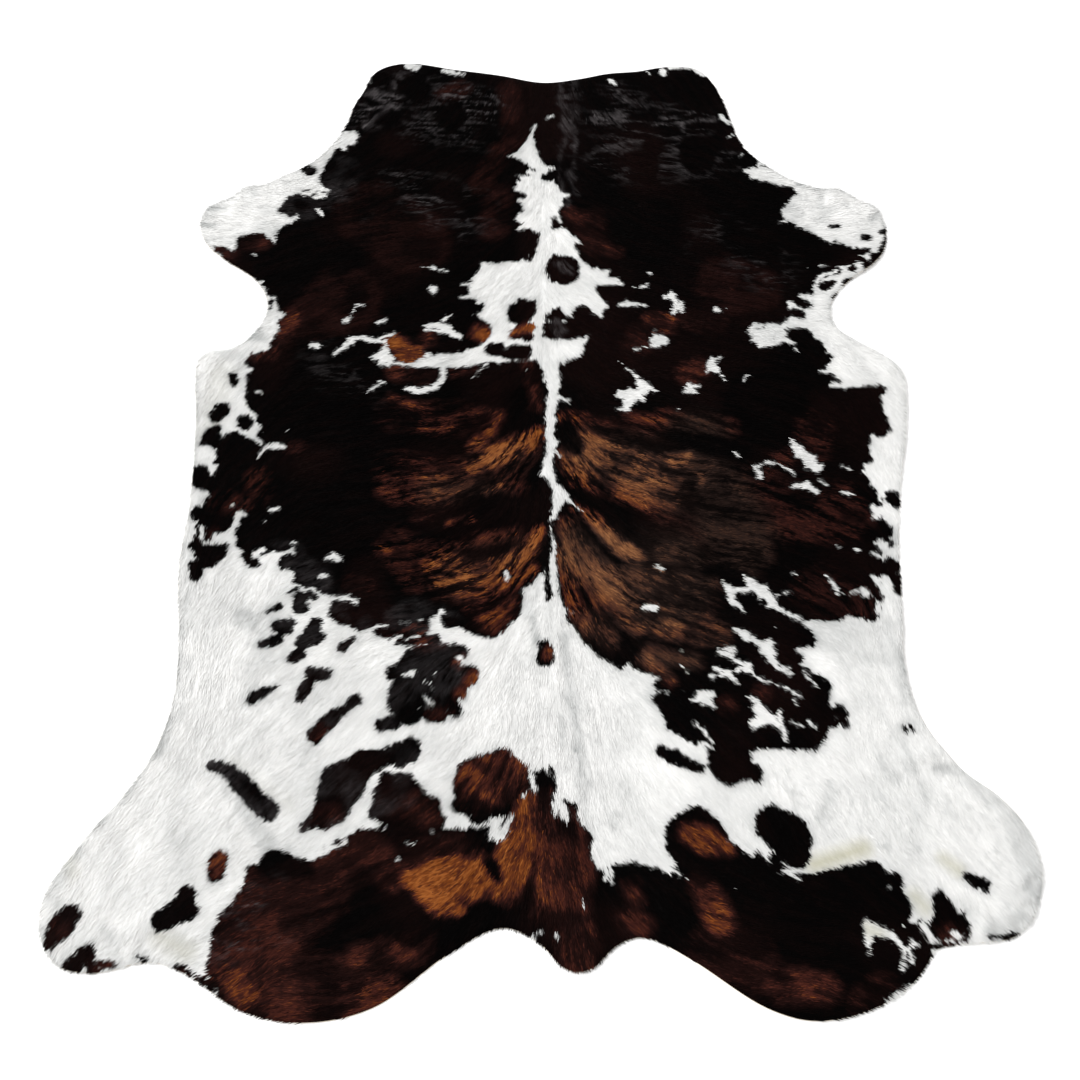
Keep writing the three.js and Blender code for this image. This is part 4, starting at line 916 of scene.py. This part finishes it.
def dark_depth(x, y):
    """Millimetres into a dark marking; negative in the white."""
    depth = np.full(len(x), -FADE)
    layers = ((DARK_STROKES, 1, np.maximum), (WHITE_STROKES, -1, np.minimum), (SPOT_STROKES, 1, np.maximum))
    for strokes, side, lay_over in layers:
        for stroke in strokes:
            near = near_stroke(stroke, x, y, FADE)
            depth[near] = lay_over(depth[near], side * depth_in(stroke, x[near], y[near]))
    return depth


def strength(strokes, x, y, soft):
    """The strongest of some soft-edged strokes at each place, 0 to 1."""
    most = np.zeros(len(x))
    for stroke in strokes:
        near = near_stroke(stroke, x, y, soft)
        inside = np.clip(0.5 + depth_in(stroke, x[near], y[near]) / soft, 0, 1)
        most[near] = np.maximum(most[near], stroke[6] * inside)
    return most


def lie_of_hair(x, y):
    """The way that the hair points, in radians: a blend of the table's rows on the same side."""
    across, along = np.zeros_like(x), np.zeros_like(x)
    for cx, cy, turn in LIE:
        same_side = np.where(x * cx > 0, 1.0, 0.0) if cx else 1.0
        away = ((x - cx) / LIE_ACROSS) ** 2 + ((y - cy) / LIE_ALONG) ** 2
        share = same_side / (away + LIE_SOFTNESS) ** LIE_FALL
        across += share * math.cos(math.radians(turn))
        along += share * math.sin(math.radians(turn))
    return np.arctan2(along, across) + 0.10 * lattice(x, y, 55, 41) + 0.05 * lattice(x, y, 18, 42)


def warmth_of(x, y, ragged_x, ragged_y, dun, fine, broad, bands):
    """How warm the dark hair is, black to tan: warm strokes without the cool ones, blotched and brindled."""
    warmth = strength(WARM_STROKES, ragged_x, ragged_y, WARM_EDGE)
    warmth = warmth * (1 - strength(COOL_STROKES, ragged_x, ragged_y, COOL_EDGE))
    blotch = np.clip(0.95 + 0.75 * lattice(x, y, 42, 33) + 0.35 * broad, 0.25, 1.5)
    warmth = warmth * (blotch + (1 - blotch) * np.clip(warmth * 2 - 0.7, 0, 1))
    far_from_middle = (y - BRINDLE_MIDDLE) / BRINDLE_REACH
    brindled = (0.40 + 0.60 * np.exp(-(far_from_middle ** 4))) * (1 - 0.35 * dun)
    lock = np.clip(0.60 + 0.26 * bands + 0.62 * broad + 0.50 * fine, 0, 1)
    glow = 0.014 * np.clip(broad + 0.2, 0, 1) + 0.035 * patchy(x, y, 120, 31, 0, 1)
    return np.clip(glow + warmth * (1 - brindled * (1 - lock * lock * (3 - 2 * lock))), 0, 1)


def sheen_of(x, y, drift_x, drift_y, fine):
    """How far the dark hair catches the light: in pressed streaks, and in the crimps on the neck."""
    pressed = strength(SHEEN_STROKES, x + drift_x, y + drift_y, SHEEN_EDGE)
    pressed = pressed * patchy(x, y, 30, 19, 0.7, 0.9, most=1.2)
    crimp = wavy_lines(0.15 * x, y + 0.14 * x, 11, 41, 3.4)
    crimp = np.maximum(crimp, wavy_lines(0.2 * x, y - 0.06 * x, 15, 43, 4))
    crimp = crimp * patchy(x, y, 44, 42, 0.5, 1.2)
    sheen = np.maximum(pressed, CRIMP_LIGHT * crimp * strength(CRIMPED, x, y, CRIMP_EDGE))
    return np.clip(sheen * (0.75 + 0.5 * fine), 0, 1)


def tone_of(x, y, drift_x, drift_y, depth, fine, broad):
    """How light the hair is: painted shade in curls, creases and rim; less where white thins by dark."""
    curl = wavy_lines(x, 0.8 * y, 12, 44, 3.2) * patchy(x, y, 30, 45, 0.7, 1)
    curl = curl * strength(CURLED, x, y, CURL_EDGE)
    painted_shade = strength(PAINTED_SHADE_STROKES, x + 0.5 * drift_x, y + 0.5 * drift_y, PAINTED_SHADE_EDGE)
    # Painted shade along the rim, where the trimmed hair also thins.
    near_rim = np.clip(2.1 - 2.1 * on_grid(over_share, x, y), 0, 1)
    thinned = np.clip(1 + depth / THIN_REACH, 0, 1) * patchy(x, y, 50, 48, 0.7, 0.6, 0.2, 1.2)
    clouds = lattice(x, y, 110, 34) + lattice(x, y, 34, 46)
    tone = USUAL_TONE + 0.05 * fine + 0.03 * broad + 0.05 * clouds
    tone = tone - CURL_SHADE * curl - RIM_SHADE * near_rim - THIN_SHADE * thinned
    return np.clip(tone - painted_shade, 0, 1)


def markings(x, y, way):
    """The pelt's colouring at each place: each value is 0 to 1."""
    ragged_x, ragged_y = x + wander(x, y, RAGGED, 11), y + wander(x, y, RAGGED, 12)
    drift_x, drift_y = wander(x, y, DRIFTING, 15), wander(x, y, DRIFTING, 16)
    fine, broad, bands = (streaks(x, y, way, *kind) for kind in (FINE, BROAD, BANDS))
    depth = dark_depth(ragged_x, ragged_y) + 0.8 + 0.9 * fine
    dun = strength(DUN_STROKES, x, y, DUN_EDGE)
    return {
        "dark": np.clip(0.5 + depth / 2, 0, 1),
        "warm": warmth_of(x, y, ragged_x, ragged_y, dun, fine, broad, bands),
        "sheen": sheen_of(x, y, drift_x, drift_y, fine),
        "cream": np.where(depth > 0, dun, strength(CREAM_STROKES, x, y, CREAM_EDGE)),
        "tone": tone_of(x, y, drift_x, drift_y, depth, fine, broad),
    }


def paint(red, green, blue):
    """A colour of 0 to 255 parts as the shader's linear one."""
    parts = [c / 255 for c in (red, green, blue)]
    return [c / 12.92 if c < 0.04045 else ((c + 0.055) / 1.055) ** 2.4 for c in parts] + [1.0]


def feed(tree, node, inputs):
    """Gives a node's inputs their values, or links them to other nodes' outputs."""
    for name, value in inputs.items():
        if isinstance(value, bpy.types.NodeSocket):
            tree.links.new(value, node.inputs[name])
        else:
            node.inputs[name].default_value = value


def add(tree, kind, inputs, **settings):
    """A new shader node, set up and fed."""
    node = tree.nodes.new("ShaderNode" + kind)
    for name, value in settings.items():
        setattr(node, name, value)
    feed(tree, node, inputs)
    return node


def reckon(tree, operation, *values):
    """The result of a sum on outputs or plain numbers."""
    return add(tree, "Math", dict(enumerate(values)), operation=operation).outputs[0]


def blend(tree, share, first, second, mode="MIX"):
    """The first colour with a share of the second laid over it."""
    colours = {0: share, 6: first, 7: second}
    return add(tree, "Mix", colours, data_type="RGBA", blend_type=mode).outputs[2]


def ramp(tree, place, stops):
    """A colour from a row of colours, each with its place from 0 to 1."""
    made = add(tree, "ValToRGB", {"Fac": place})
    elements = made.color_ramp.elements
    elements[1].position = stops[-1][0]
    for stop, _ in stops[1:-1]:
        elements.new(stop)
    for element, (_, colour) in zip(elements, stops):
        element.color = paint(*colour)
    return made.outputs["Color"]


def noise(tree, scale, detail, roughness=0.5):
    """Noise that is fixed to the object; the scale is in bumps a metre."""
    place = add(tree, "TexCoord", {}).outputs["Object"]
    settings = {"Vector": place, "Scale": scale, "Detail": detail, "Roughness": roughness}
    return add(tree, "TexNoise", settings).outputs[0]


def surface_group(name, inputs):
    """A node group with the named inputs that gives a surface's colour, roughness and relief."""
    group = bpy.data.node_groups.new(name, "ShaderNodeTree")
    for title, value in inputs.items():
        kind = "NodeSocketColor" if isinstance(value, list) else "NodeSocketFloat"
        group.interface.new_socket(title, in_out="INPUT", socket_type=kind).default_value = value
    for title, kind in (("Colour", "Color"), ("Roughness", "Float"), ("Relief", "Float")):
        group.interface.new_socket(title, in_out="OUTPUT", socket_type="NodeSocket" + kind)
    return group, group.nodes.new("NodeGroupInput").outputs, group.nodes.new("NodeGroupOutput")


def pelt_colouring_group():
    """Black through red-brown to tan, or white hair, with painted sheen and shade, from the markings."""
    readings = {"Dark": 0.0, "Warm": 0.0, "Sheen": 0.0, "Cream": 0.0, "Tone": 0.5, "Tip": 1.0}
    group, given, out = surface_group("pelt_colouring", readings)
    dark_hair = blend(group, given["Cream"], ramp(group, given["Warm"], WARM_COLOURS),
                      ramp(group, given["Warm"], DUN_COLOURS))
    dark_hair = blend(group, given["Sheen"], dark_hair, paint(*SHEEN_GREY))
    white_hair = blend(group, given["Tone"], paint(*WHITE_SHADE), paint(*WHITE))
    white_hair = blend(group, given["Cream"], white_hair, paint(*CREAM))
    hair = blend(group, given["Dark"], white_hair, dark_hair)

    hair_noise = noise(group, 330.0, 2.0)
    # A grey laid over the hair: darker where the tone is low, and darker towards the roots as painted shade.
    # The noise flecks it at random; dark hair takes all of it, white hair a quarter.
    light = reckon(group, "MULTIPLY_ADD", given["Tone"], 0.5, 0.75)
    light = reckon(group, "MULTIPLY_ADD", reckon(group, "SUBTRACT", hair_noise, 0.5), 0.25, light)
    light = reckon(group, "MULTIPLY", light, reckon(group, "MULTIPLY_ADD", given["Tip"], 0.15, 0.85))
    grey = add(group, "CombineColor", {0: light, 1: light, 2: light}).outputs[0]
    share_of_light = reckon(group, "MULTIPLY_ADD", given["Dark"], 0.75, 0.25)
    feed(group, out, {
        "Colour": blend(group, share_of_light, hair, grey, "MULTIPLY"),
        "Roughness": reckon(group, "MULTIPLY_ADD", given["Tone"], -0.2, 0.62),
        "Relief": hair_noise,
    })
    return group


def bare_leather_group():
    """Bare leather: clouded between a pale and a deep colour, with a felted nap."""
    choices = {"Pale": [1.0] * 4, "Deep": [0.5] * 4, "Nap Scale": 400.0}
    group, given, out = surface_group("bare_leather", choices)
    cloud = noise(group, 9.0, 6.0)
    nap = noise(group, given["Nap Scale"], 5.0, 0.7)
    mottle = reckon(group, "MULTIPLY_ADD", nap, 0.35, reckon(group, "MULTIPLY", cloud, 0.65))
    paleness = add(group, "MapRange", {"Value": mottle, "From Min": 0.35, "From Max": 0.68}).outputs[0]
    feed(group, out, {
        "Colour": blend(group, paleness, given["Deep"], given["Pale"]),
        "Roughness": add(group, "MapRange", {"Value": nap, "To Min": 0.82, "To Max": 0.98}).outputs[0],
        "Relief": nap,
    })
    return group


def material(name):
    """A new material, its tree and its finish shader."""
    made = bpy.data.materials.new(name)
    made.use_nodes = True
    return made, made.node_tree, made.node_tree.nodes["Principled BSDF"]


def finish(tree, shader, source, bump_strength, bump_depth, specular):
    """Gives the shader a group's colour, roughness and relief; the bump's depth is in metres."""
    made = source.outputs
    relief = {"Strength": bump_strength, "Distance": bump_depth, "Height": made["Relief"]}
    bump = add(tree, "Bump", relief)
    feed(tree, shader, {
        "Base Color": made["Colour"],
        "Roughness": made["Roughness"],
        "Normal": bump.outputs["Normal"],
        "Specular IOR Level": specular,
    })


def hair_material(name, colouring):
    """Short, flat-lying hair in the pelt's colours, read from the piece's own markings."""
    made, tree, shader = material(name)
    readings = {
        title: add(tree, "Attribute", {}, attribute_name=title.lower()).outputs["Fac"]
        for title in ("Dark", "Warm", "Sheen", "Cream", "Tone", "Tip")
    }
    finish(tree, shader, add(tree, "Group", readings, node_tree=colouring), 0.25, 0.0006, 0.012)
    return made


def leather_material(name, leather, pale, deep, nap_scale, nap_depth):
    """Bare leather between two colours, with a nap of the given fineness and depth."""
    made, tree, shader = material(name)
    colours = {"Pale": paint(*pale), "Deep": paint(*deep), "Nap Scale": nap_scale}
    finish(tree, shader, add(tree, "Group", colours, node_tree=leather), 0.5, nap_depth, 0.25)
    return made


def mesh_piece(name, points, faces, corners, materials):
    """An object of three- and four-cornered faces; points come in millimetres."""
    mesh = bpy.data.meshes.new(name)
    mesh.vertices.add(len(points))
    mesh.vertices.foreach_set("co", (points * MM).astype(np.float32).ravel())
    mesh.loops.add(len(faces))
    mesh.loops.foreach_set("vertex_index", faces.astype(np.int32))
    mesh.polygons.add(len(corners))
    mesh.polygons.foreach_set("loop_start", (np.cumsum(corners) - corners).astype(np.int32))
    mesh.update(calc_edges=True)
    for one in materials:
        mesh.materials.append(one)
    piece = bpy.data.objects.new(name, mesh)
    bpy.context.collection.objects.link(piece)
    return piece


def give_values(piece, values):
    """Keeps named numbers on the piece's points, for its material to read."""
    for name, numbers in values.items():
        kept = piece.data.attributes.new(name, "FLOAT", "POINT")
        kept.data.foreach_set("value", numbers.astype(np.float32))


def give_map(piece, u, v):
    """Where each face corner lies on the piece's own flat map."""
    layer = piece.data.uv_layers.new(name="OFBake")
    layer.data.foreach_set("uv", np.stack([u, v], axis=1).astype(np.float32).ravel())


top_points, top_faces = filled(rim, TOP_STEP, 1)
low_points, low_faces = filled(rim, UNDERSIDE_STEP, 2)
edge_points = drawn_in(rim, -EDGE_BULGE)
around = len(rim)
top_height = lift_at(*top_points.T) + SKIN + UNDER_HAIR
top_height[:around] -= UNDER_HAIR
hide_points = np.vstack([
    np.column_stack([top_points, top_height]),
    np.column_stack([low_points, lift_at(*low_points.T)]),
    np.column_stack([edge_points, lift_at(*edge_points.T) + 0.5 * SKIN]),
])
first_low, first_edge = len(top_points), len(top_points) + len(low_points)
here = np.arange(around)
after = (here + 1) % around
upper_wall = np.column_stack([first_edge + here, first_edge + after, after, here])
lower_wall = np.column_stack([first_low + here, first_low + after, first_edge + after, first_edge + here])
underside = first_low + low_faces[:, ::-1]
hide_faces = np.concatenate([a.ravel() for a in (top_faces, underside, upper_wall, lower_wall)])
hide_corners = np.repeat([3, 4], [len(top_faces) + len(underside), 2 * around])

pelt_colouring = pelt_colouring_group()
bare_leather = bare_leather_group()
under_hair = hair_material("under_hair", pelt_colouring)
suede = leather_material("suede", bare_leather, (214, 200, 178), (176, 158, 132), 420.0, 0.0008)
cut_edge = leather_material("cut_edge", bare_leather, (222, 212, 196), (190, 174, 150), 700.0, 0.0004)
hide = mesh_piece("pelt", hide_points, hide_faces, hide_corners, [under_hair, suede, cut_edge])
ON_TOP, BELOW, AT_EDGE = 0, 1, 2
side_of_face = np.repeat([ON_TOP, BELOW, AT_EDGE], [len(top_faces), len(underside), 2 * around])
hide.data.polygons.foreach_set("material_index", side_of_face.astype(np.int32))
skin_x, skin_y = hide_points[:, 0], hide_points[:, 1]
skin_colours = markings(skin_x, skin_y, lie_of_hair(skin_x, skin_y))
# The under-hair counts as roots, so it is painted darker, as shade between the locks.
skin_colours["tip"] = np.zeros(len(skin_x))
give_values(hide, skin_colours)

# On its flat map the top fills most of the square, the underside a narrow strip and the edge a sliver.
TOP_SHARE, LOW_LEFT, LOW_SHARE = 0.80, 0.81, 0.155
WALL_STRIPS = ((0.972, 0.982), (0.984, 0.994))
across = (skin_x[hide_faces] - LEFT) / (COLUMNS * LIFT_STEP)
upward = (skin_y[hide_faces] - BOTTOM) / (ROWS * LIFT_STEP)
side_of_corner = np.repeat(side_of_face, hide_corners)
ring_place = (np.repeat(here, 4) + np.tile([0, 1, 1, 0], around)) / around
walls = side_of_corner == AT_EDGE
map_u = np.where(side_of_corner == ON_TOP, across * TOP_SHARE, LOW_LEFT + across * LOW_SHARE)
map_u[walls] = np.concatenate([np.tile([low, low, high, high], around) for low, high in WALL_STRIPS])
map_v = upward.copy()
map_v[walls] = 0.01 + 0.98 * np.tile(ring_place, 2)
give_map(hide, map_u, map_v)

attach(hide, "root")
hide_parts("hide")

# ---- Coat ----
# The hair that still grows from the skin: clipped short, lying flat along the body from the backbone to the
# belly and the legs. It is built as four bands of tapered locks, each lock rooted in the skin.
COAT_BANDS = ("coat_neck", "coat_shoulders", "coat_flanks", "coat_rump")
LOCKS_IN_BAND = 65000
LOCK_LENGTH = 13.0
SHORTEST_LOCK = 4.0
SHY_OF_RIM = 0.12
LOCK_WIDTH = 1.5
LEAN, ROLL, STRAY = 7.5, 9.0, 6.0
ROOTED = 0.3
SEEN_AT = 0.55
RIM_ROOM = 0.4
LOWEST = 0.4
SLOPE_STEP = 4.0

# Along each lock: how far the bend and the tip are, how high they rise, and how wide the ribbon is.
LOCK_RUN, LOCK_RISE, LOCK_TAPER = (0.0, 0.5, 1.0), (0.0, 0.62, 1.0), (0.75, 1.0)
LOCK_FACES, LOCK_CORNERS = (0, 1, 3, 2, 2, 3, 4), (4, 3)
# How far each point is towards the lock's tip: the colouring darkens the roots, painted shade between locks.
LOCK_TIPS = (0.1, 0.1, 0.75, 0.75, 1.0)
LOCK_MAP_U = np.array([0.06, 0.94, 0.94, 0.06, 0.06, 0.94, 0.5])
LOCK_MAP_V = np.array([0.06, 0.06, 0.6, 0.6, 0.6, 0.6, 0.94])


def surface_at(x, y):
    """The height of the skin's top."""
    return lift_at(x, y) + SKIN + UNDER_HAIR


def climb_at(x, y):
    """How steeply the skin's top climbs towards x and towards y."""
    along_x = surface_at(x + SLOPE_STEP, y) - surface_at(x - SLOPE_STEP, y)
    along_y = surface_at(x, y + SLOPE_STEP) - surface_at(x, y - SLOPE_STEP)
    return along_x / (2 * SLOPE_STEP), along_y / (2 * SLOPE_STEP)


def room_ahead(x, y, step_x, step_y, length):
    """How far each lock can run before it reaches the hide's outline."""
    room = length.copy()
    for share in (1.0, 0.75, 0.5, 0.25):
        run = share * length
        outside = ~clearance(outline, x + run * step_x, y + run * step_y, 0.0)
        room = np.where(outside, run - SHY_OF_RIM * length, room)
    return room


def shaped_locks(x, y, dice):
    """The five points of each lock, a ribbon bent once and drawn to a tip; its way; and where it is seen."""
    count = len(x)
    way = lie_of_hair(x, y)
    tuft = streaks(x, y, way, *TUFTS)
    way = way + np.radians(STRAY) * (dice.standard_normal(count) + 0.7 * lattice(x, y, 11, 52))
    length = LOCK_LENGTH * np.clip(1 + 0.16 * dice.standard_normal(count), 0.6, 1.4)
    step_x, step_y = np.cos(way), np.sin(way)
    reach = room_ahead(x, y, step_x, step_y, length)
    length = np.minimum(length, np.maximum(reach + dice.uniform(0.0, 3.0, count), SHORTEST_LOCK))
    lean = np.radians(LEAN * np.clip(1 + 0.30 * dice.standard_normal(count) + 0.30 * tuft, 0.3, 2.2))
    roll = np.radians(ROLL) * (0.8 * dice.standard_normal(count) + 0.5 * tuft)
    slope_x, slope_y = climb_at(x, y)
    climb = slope_x * step_x + slope_y * step_y
    side_x, side_y = -step_y, step_x
    side_climb = slope_x * side_x + slope_y * side_y + np.tan(np.clip(roll, -0.9, 0.9))
    flatten = np.sqrt(1 + side_climb ** 2)
    base = surface_at(x, y) - ROOTED
    spine = []
    for share, rise in zip(LOCK_RUN, LOCK_RISE):
        run = share * length
        height = base + run * climb + rise * length * np.sin(lean)
        spine.append(np.column_stack([x + run * step_x, y + run * step_y, height]))
    sideways = np.column_stack([side_x, side_y, side_climb])
    rows = []
    for middle, wide in zip(spine, LOCK_TAPER):
        half = (0.5 * LOCK_WIDTH * wide / flatten)[:, None] * sideways
        rows += [middle - half, middle + half]
    points = np.stack(rows + [spine[2]], axis=1).reshape(-1, 3)
    points[:, 2] = np.maximum(points[:, 2], LOWEST)
    return points, way, x + SEEN_AT * length * step_x, y + SEEN_AT * length * step_y


def locks(name, x, y):
    """One band of hair, rooted at the given places, in the colours of the pelt below it."""
    dice = np.random.default_rng(len(name) + len(x))
    count = len(x)
    points, way, seen_x, seen_y = shaped_locks(x, y, dice)
    faces = 5 * np.arange(count)[:, None] + np.array(LOCK_FACES)
    piece = mesh_piece(name, points, faces.ravel(), np.tile(LOCK_CORNERS, count), [coat_hair])

    colours = markings(seen_x, seen_y, way)
    colours["tone"] = np.clip(colours["tone"] + 0.04 * dice.standard_normal(count), 0, 1)
    colours["warm"] = np.clip(colours["warm"] * (1 + 0.22 * dice.standard_normal(count)), 0, 1)
    stray_colour = 0.1 * np.clip(dice.standard_normal(count), -2.6, 2.6)
    colours["dark"] = np.clip(0.5 + 3 * (colours["dark"] - 0.5 + stray_colour), 0, 1)
    values = {key: np.repeat(value, 5) for key, value in colours.items()}
    values["tip"] = np.tile(LOCK_TIPS, count)
    give_values(piece, values)

    # Each lock has a small square of the flat map to itself.
    squares = math.ceil(math.sqrt(count))
    left, low = np.arange(count)[:, None] % squares, np.arange(count)[:, None] // squares
    give_map(piece, ((left + LOCK_MAP_U) / squares).ravel(), ((low + LOCK_MAP_V) / squares).ravel())
    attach(piece, "root")
    return piece


# The roots stand in staggered rows over the whole hide and are dealt out to the bands from the neck down.
root_step = math.sqrt(area_inside(rim) / (len(COAT_BANDS) * LOCKS_IN_BAND) / ROW_SHARE) * 1.003
root_x, root_y = staggered(rim, root_step, 0.45, np.random.default_rng(7))
kept = clearance(rim, root_x, root_y, RIM_ROOM)
root_x, root_y = root_x[kept], root_y[kept]
order = np.argsort(-root_y, kind="stable")
root_x, root_y = root_x[order], root_y[order]

coat_hair = hair_material("coat_hair", pelt_colouring)
shares = np.linspace(0, len(root_x), len(COAT_BANDS) + 1).astype(int)
coat = [
    locks(name, root_x[start:end], root_y[start:end])
    for name, start, end in zip(COAT_BANDS, shares[:-1], shares[1:])
]
for band in coat:
    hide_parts("hide")

# ---- Floor and light ----
# A plain white floor that runs far past the rug, a large soft light high at the upper left, and an even
# pale surround, as in a bright studio.
FLOOR_REACH = 9.0
FLOOR_SHADE = 0.93
SURROUND_STRENGTH = 0.84
KEY_PLACE = Vector((-7.6, 2.6, 9.0))
KEY_SIZE = 6.4
KEY_POWER = 1350.0

floor_mesh = bpy.data.meshes.new("floor")
floor_corners = [(FLOOR_REACH * x, FLOOR_REACH * y, 0) for x, y in ((-1, -1), (1, -1), (1, 1), (-1, 1))]
floor_mesh.from_pydata(floor_corners, [], [(0, 1, 2, 3)])
pale_floor, floor_tree, floor_shader = material("pale_floor")
floor_colour = [FLOOR_SHADE] * 3 + [1.0]
feed(floor_tree, floor_shader, {"Base Color": floor_colour, "Roughness": 0.9, "Specular IOR Level": 0.1})
floor_mesh.materials.append(pale_floor)
floor = bpy.data.objects.new("floor", floor_mesh)
bpy.context.collection.objects.link(floor)

surround = bpy.data.worlds.new("surround")
surround.use_nodes = True
surround_light = surround.node_tree.nodes["Background"]
feed(surround.node_tree, surround_light, {"Color": [1.0] * 4, "Strength": SURROUND_STRENGTH})
bpy.context.scene.world = surround

key_data = bpy.data.lights.new("key", "AREA")
key_data.shape = "DISK"
key_data.size = KEY_SIZE
key_data.energy = KEY_POWER
key = bpy.data.objects.new("key", key_data)
key.location = KEY_PLACE
key.rotation_euler = (-KEY_PLACE).to_track_quat("-Z", "Y").to_euler()
bpy.context.collection.objects.link(key)
bpy.context.scene.view_settings.view_transform = "Standard"
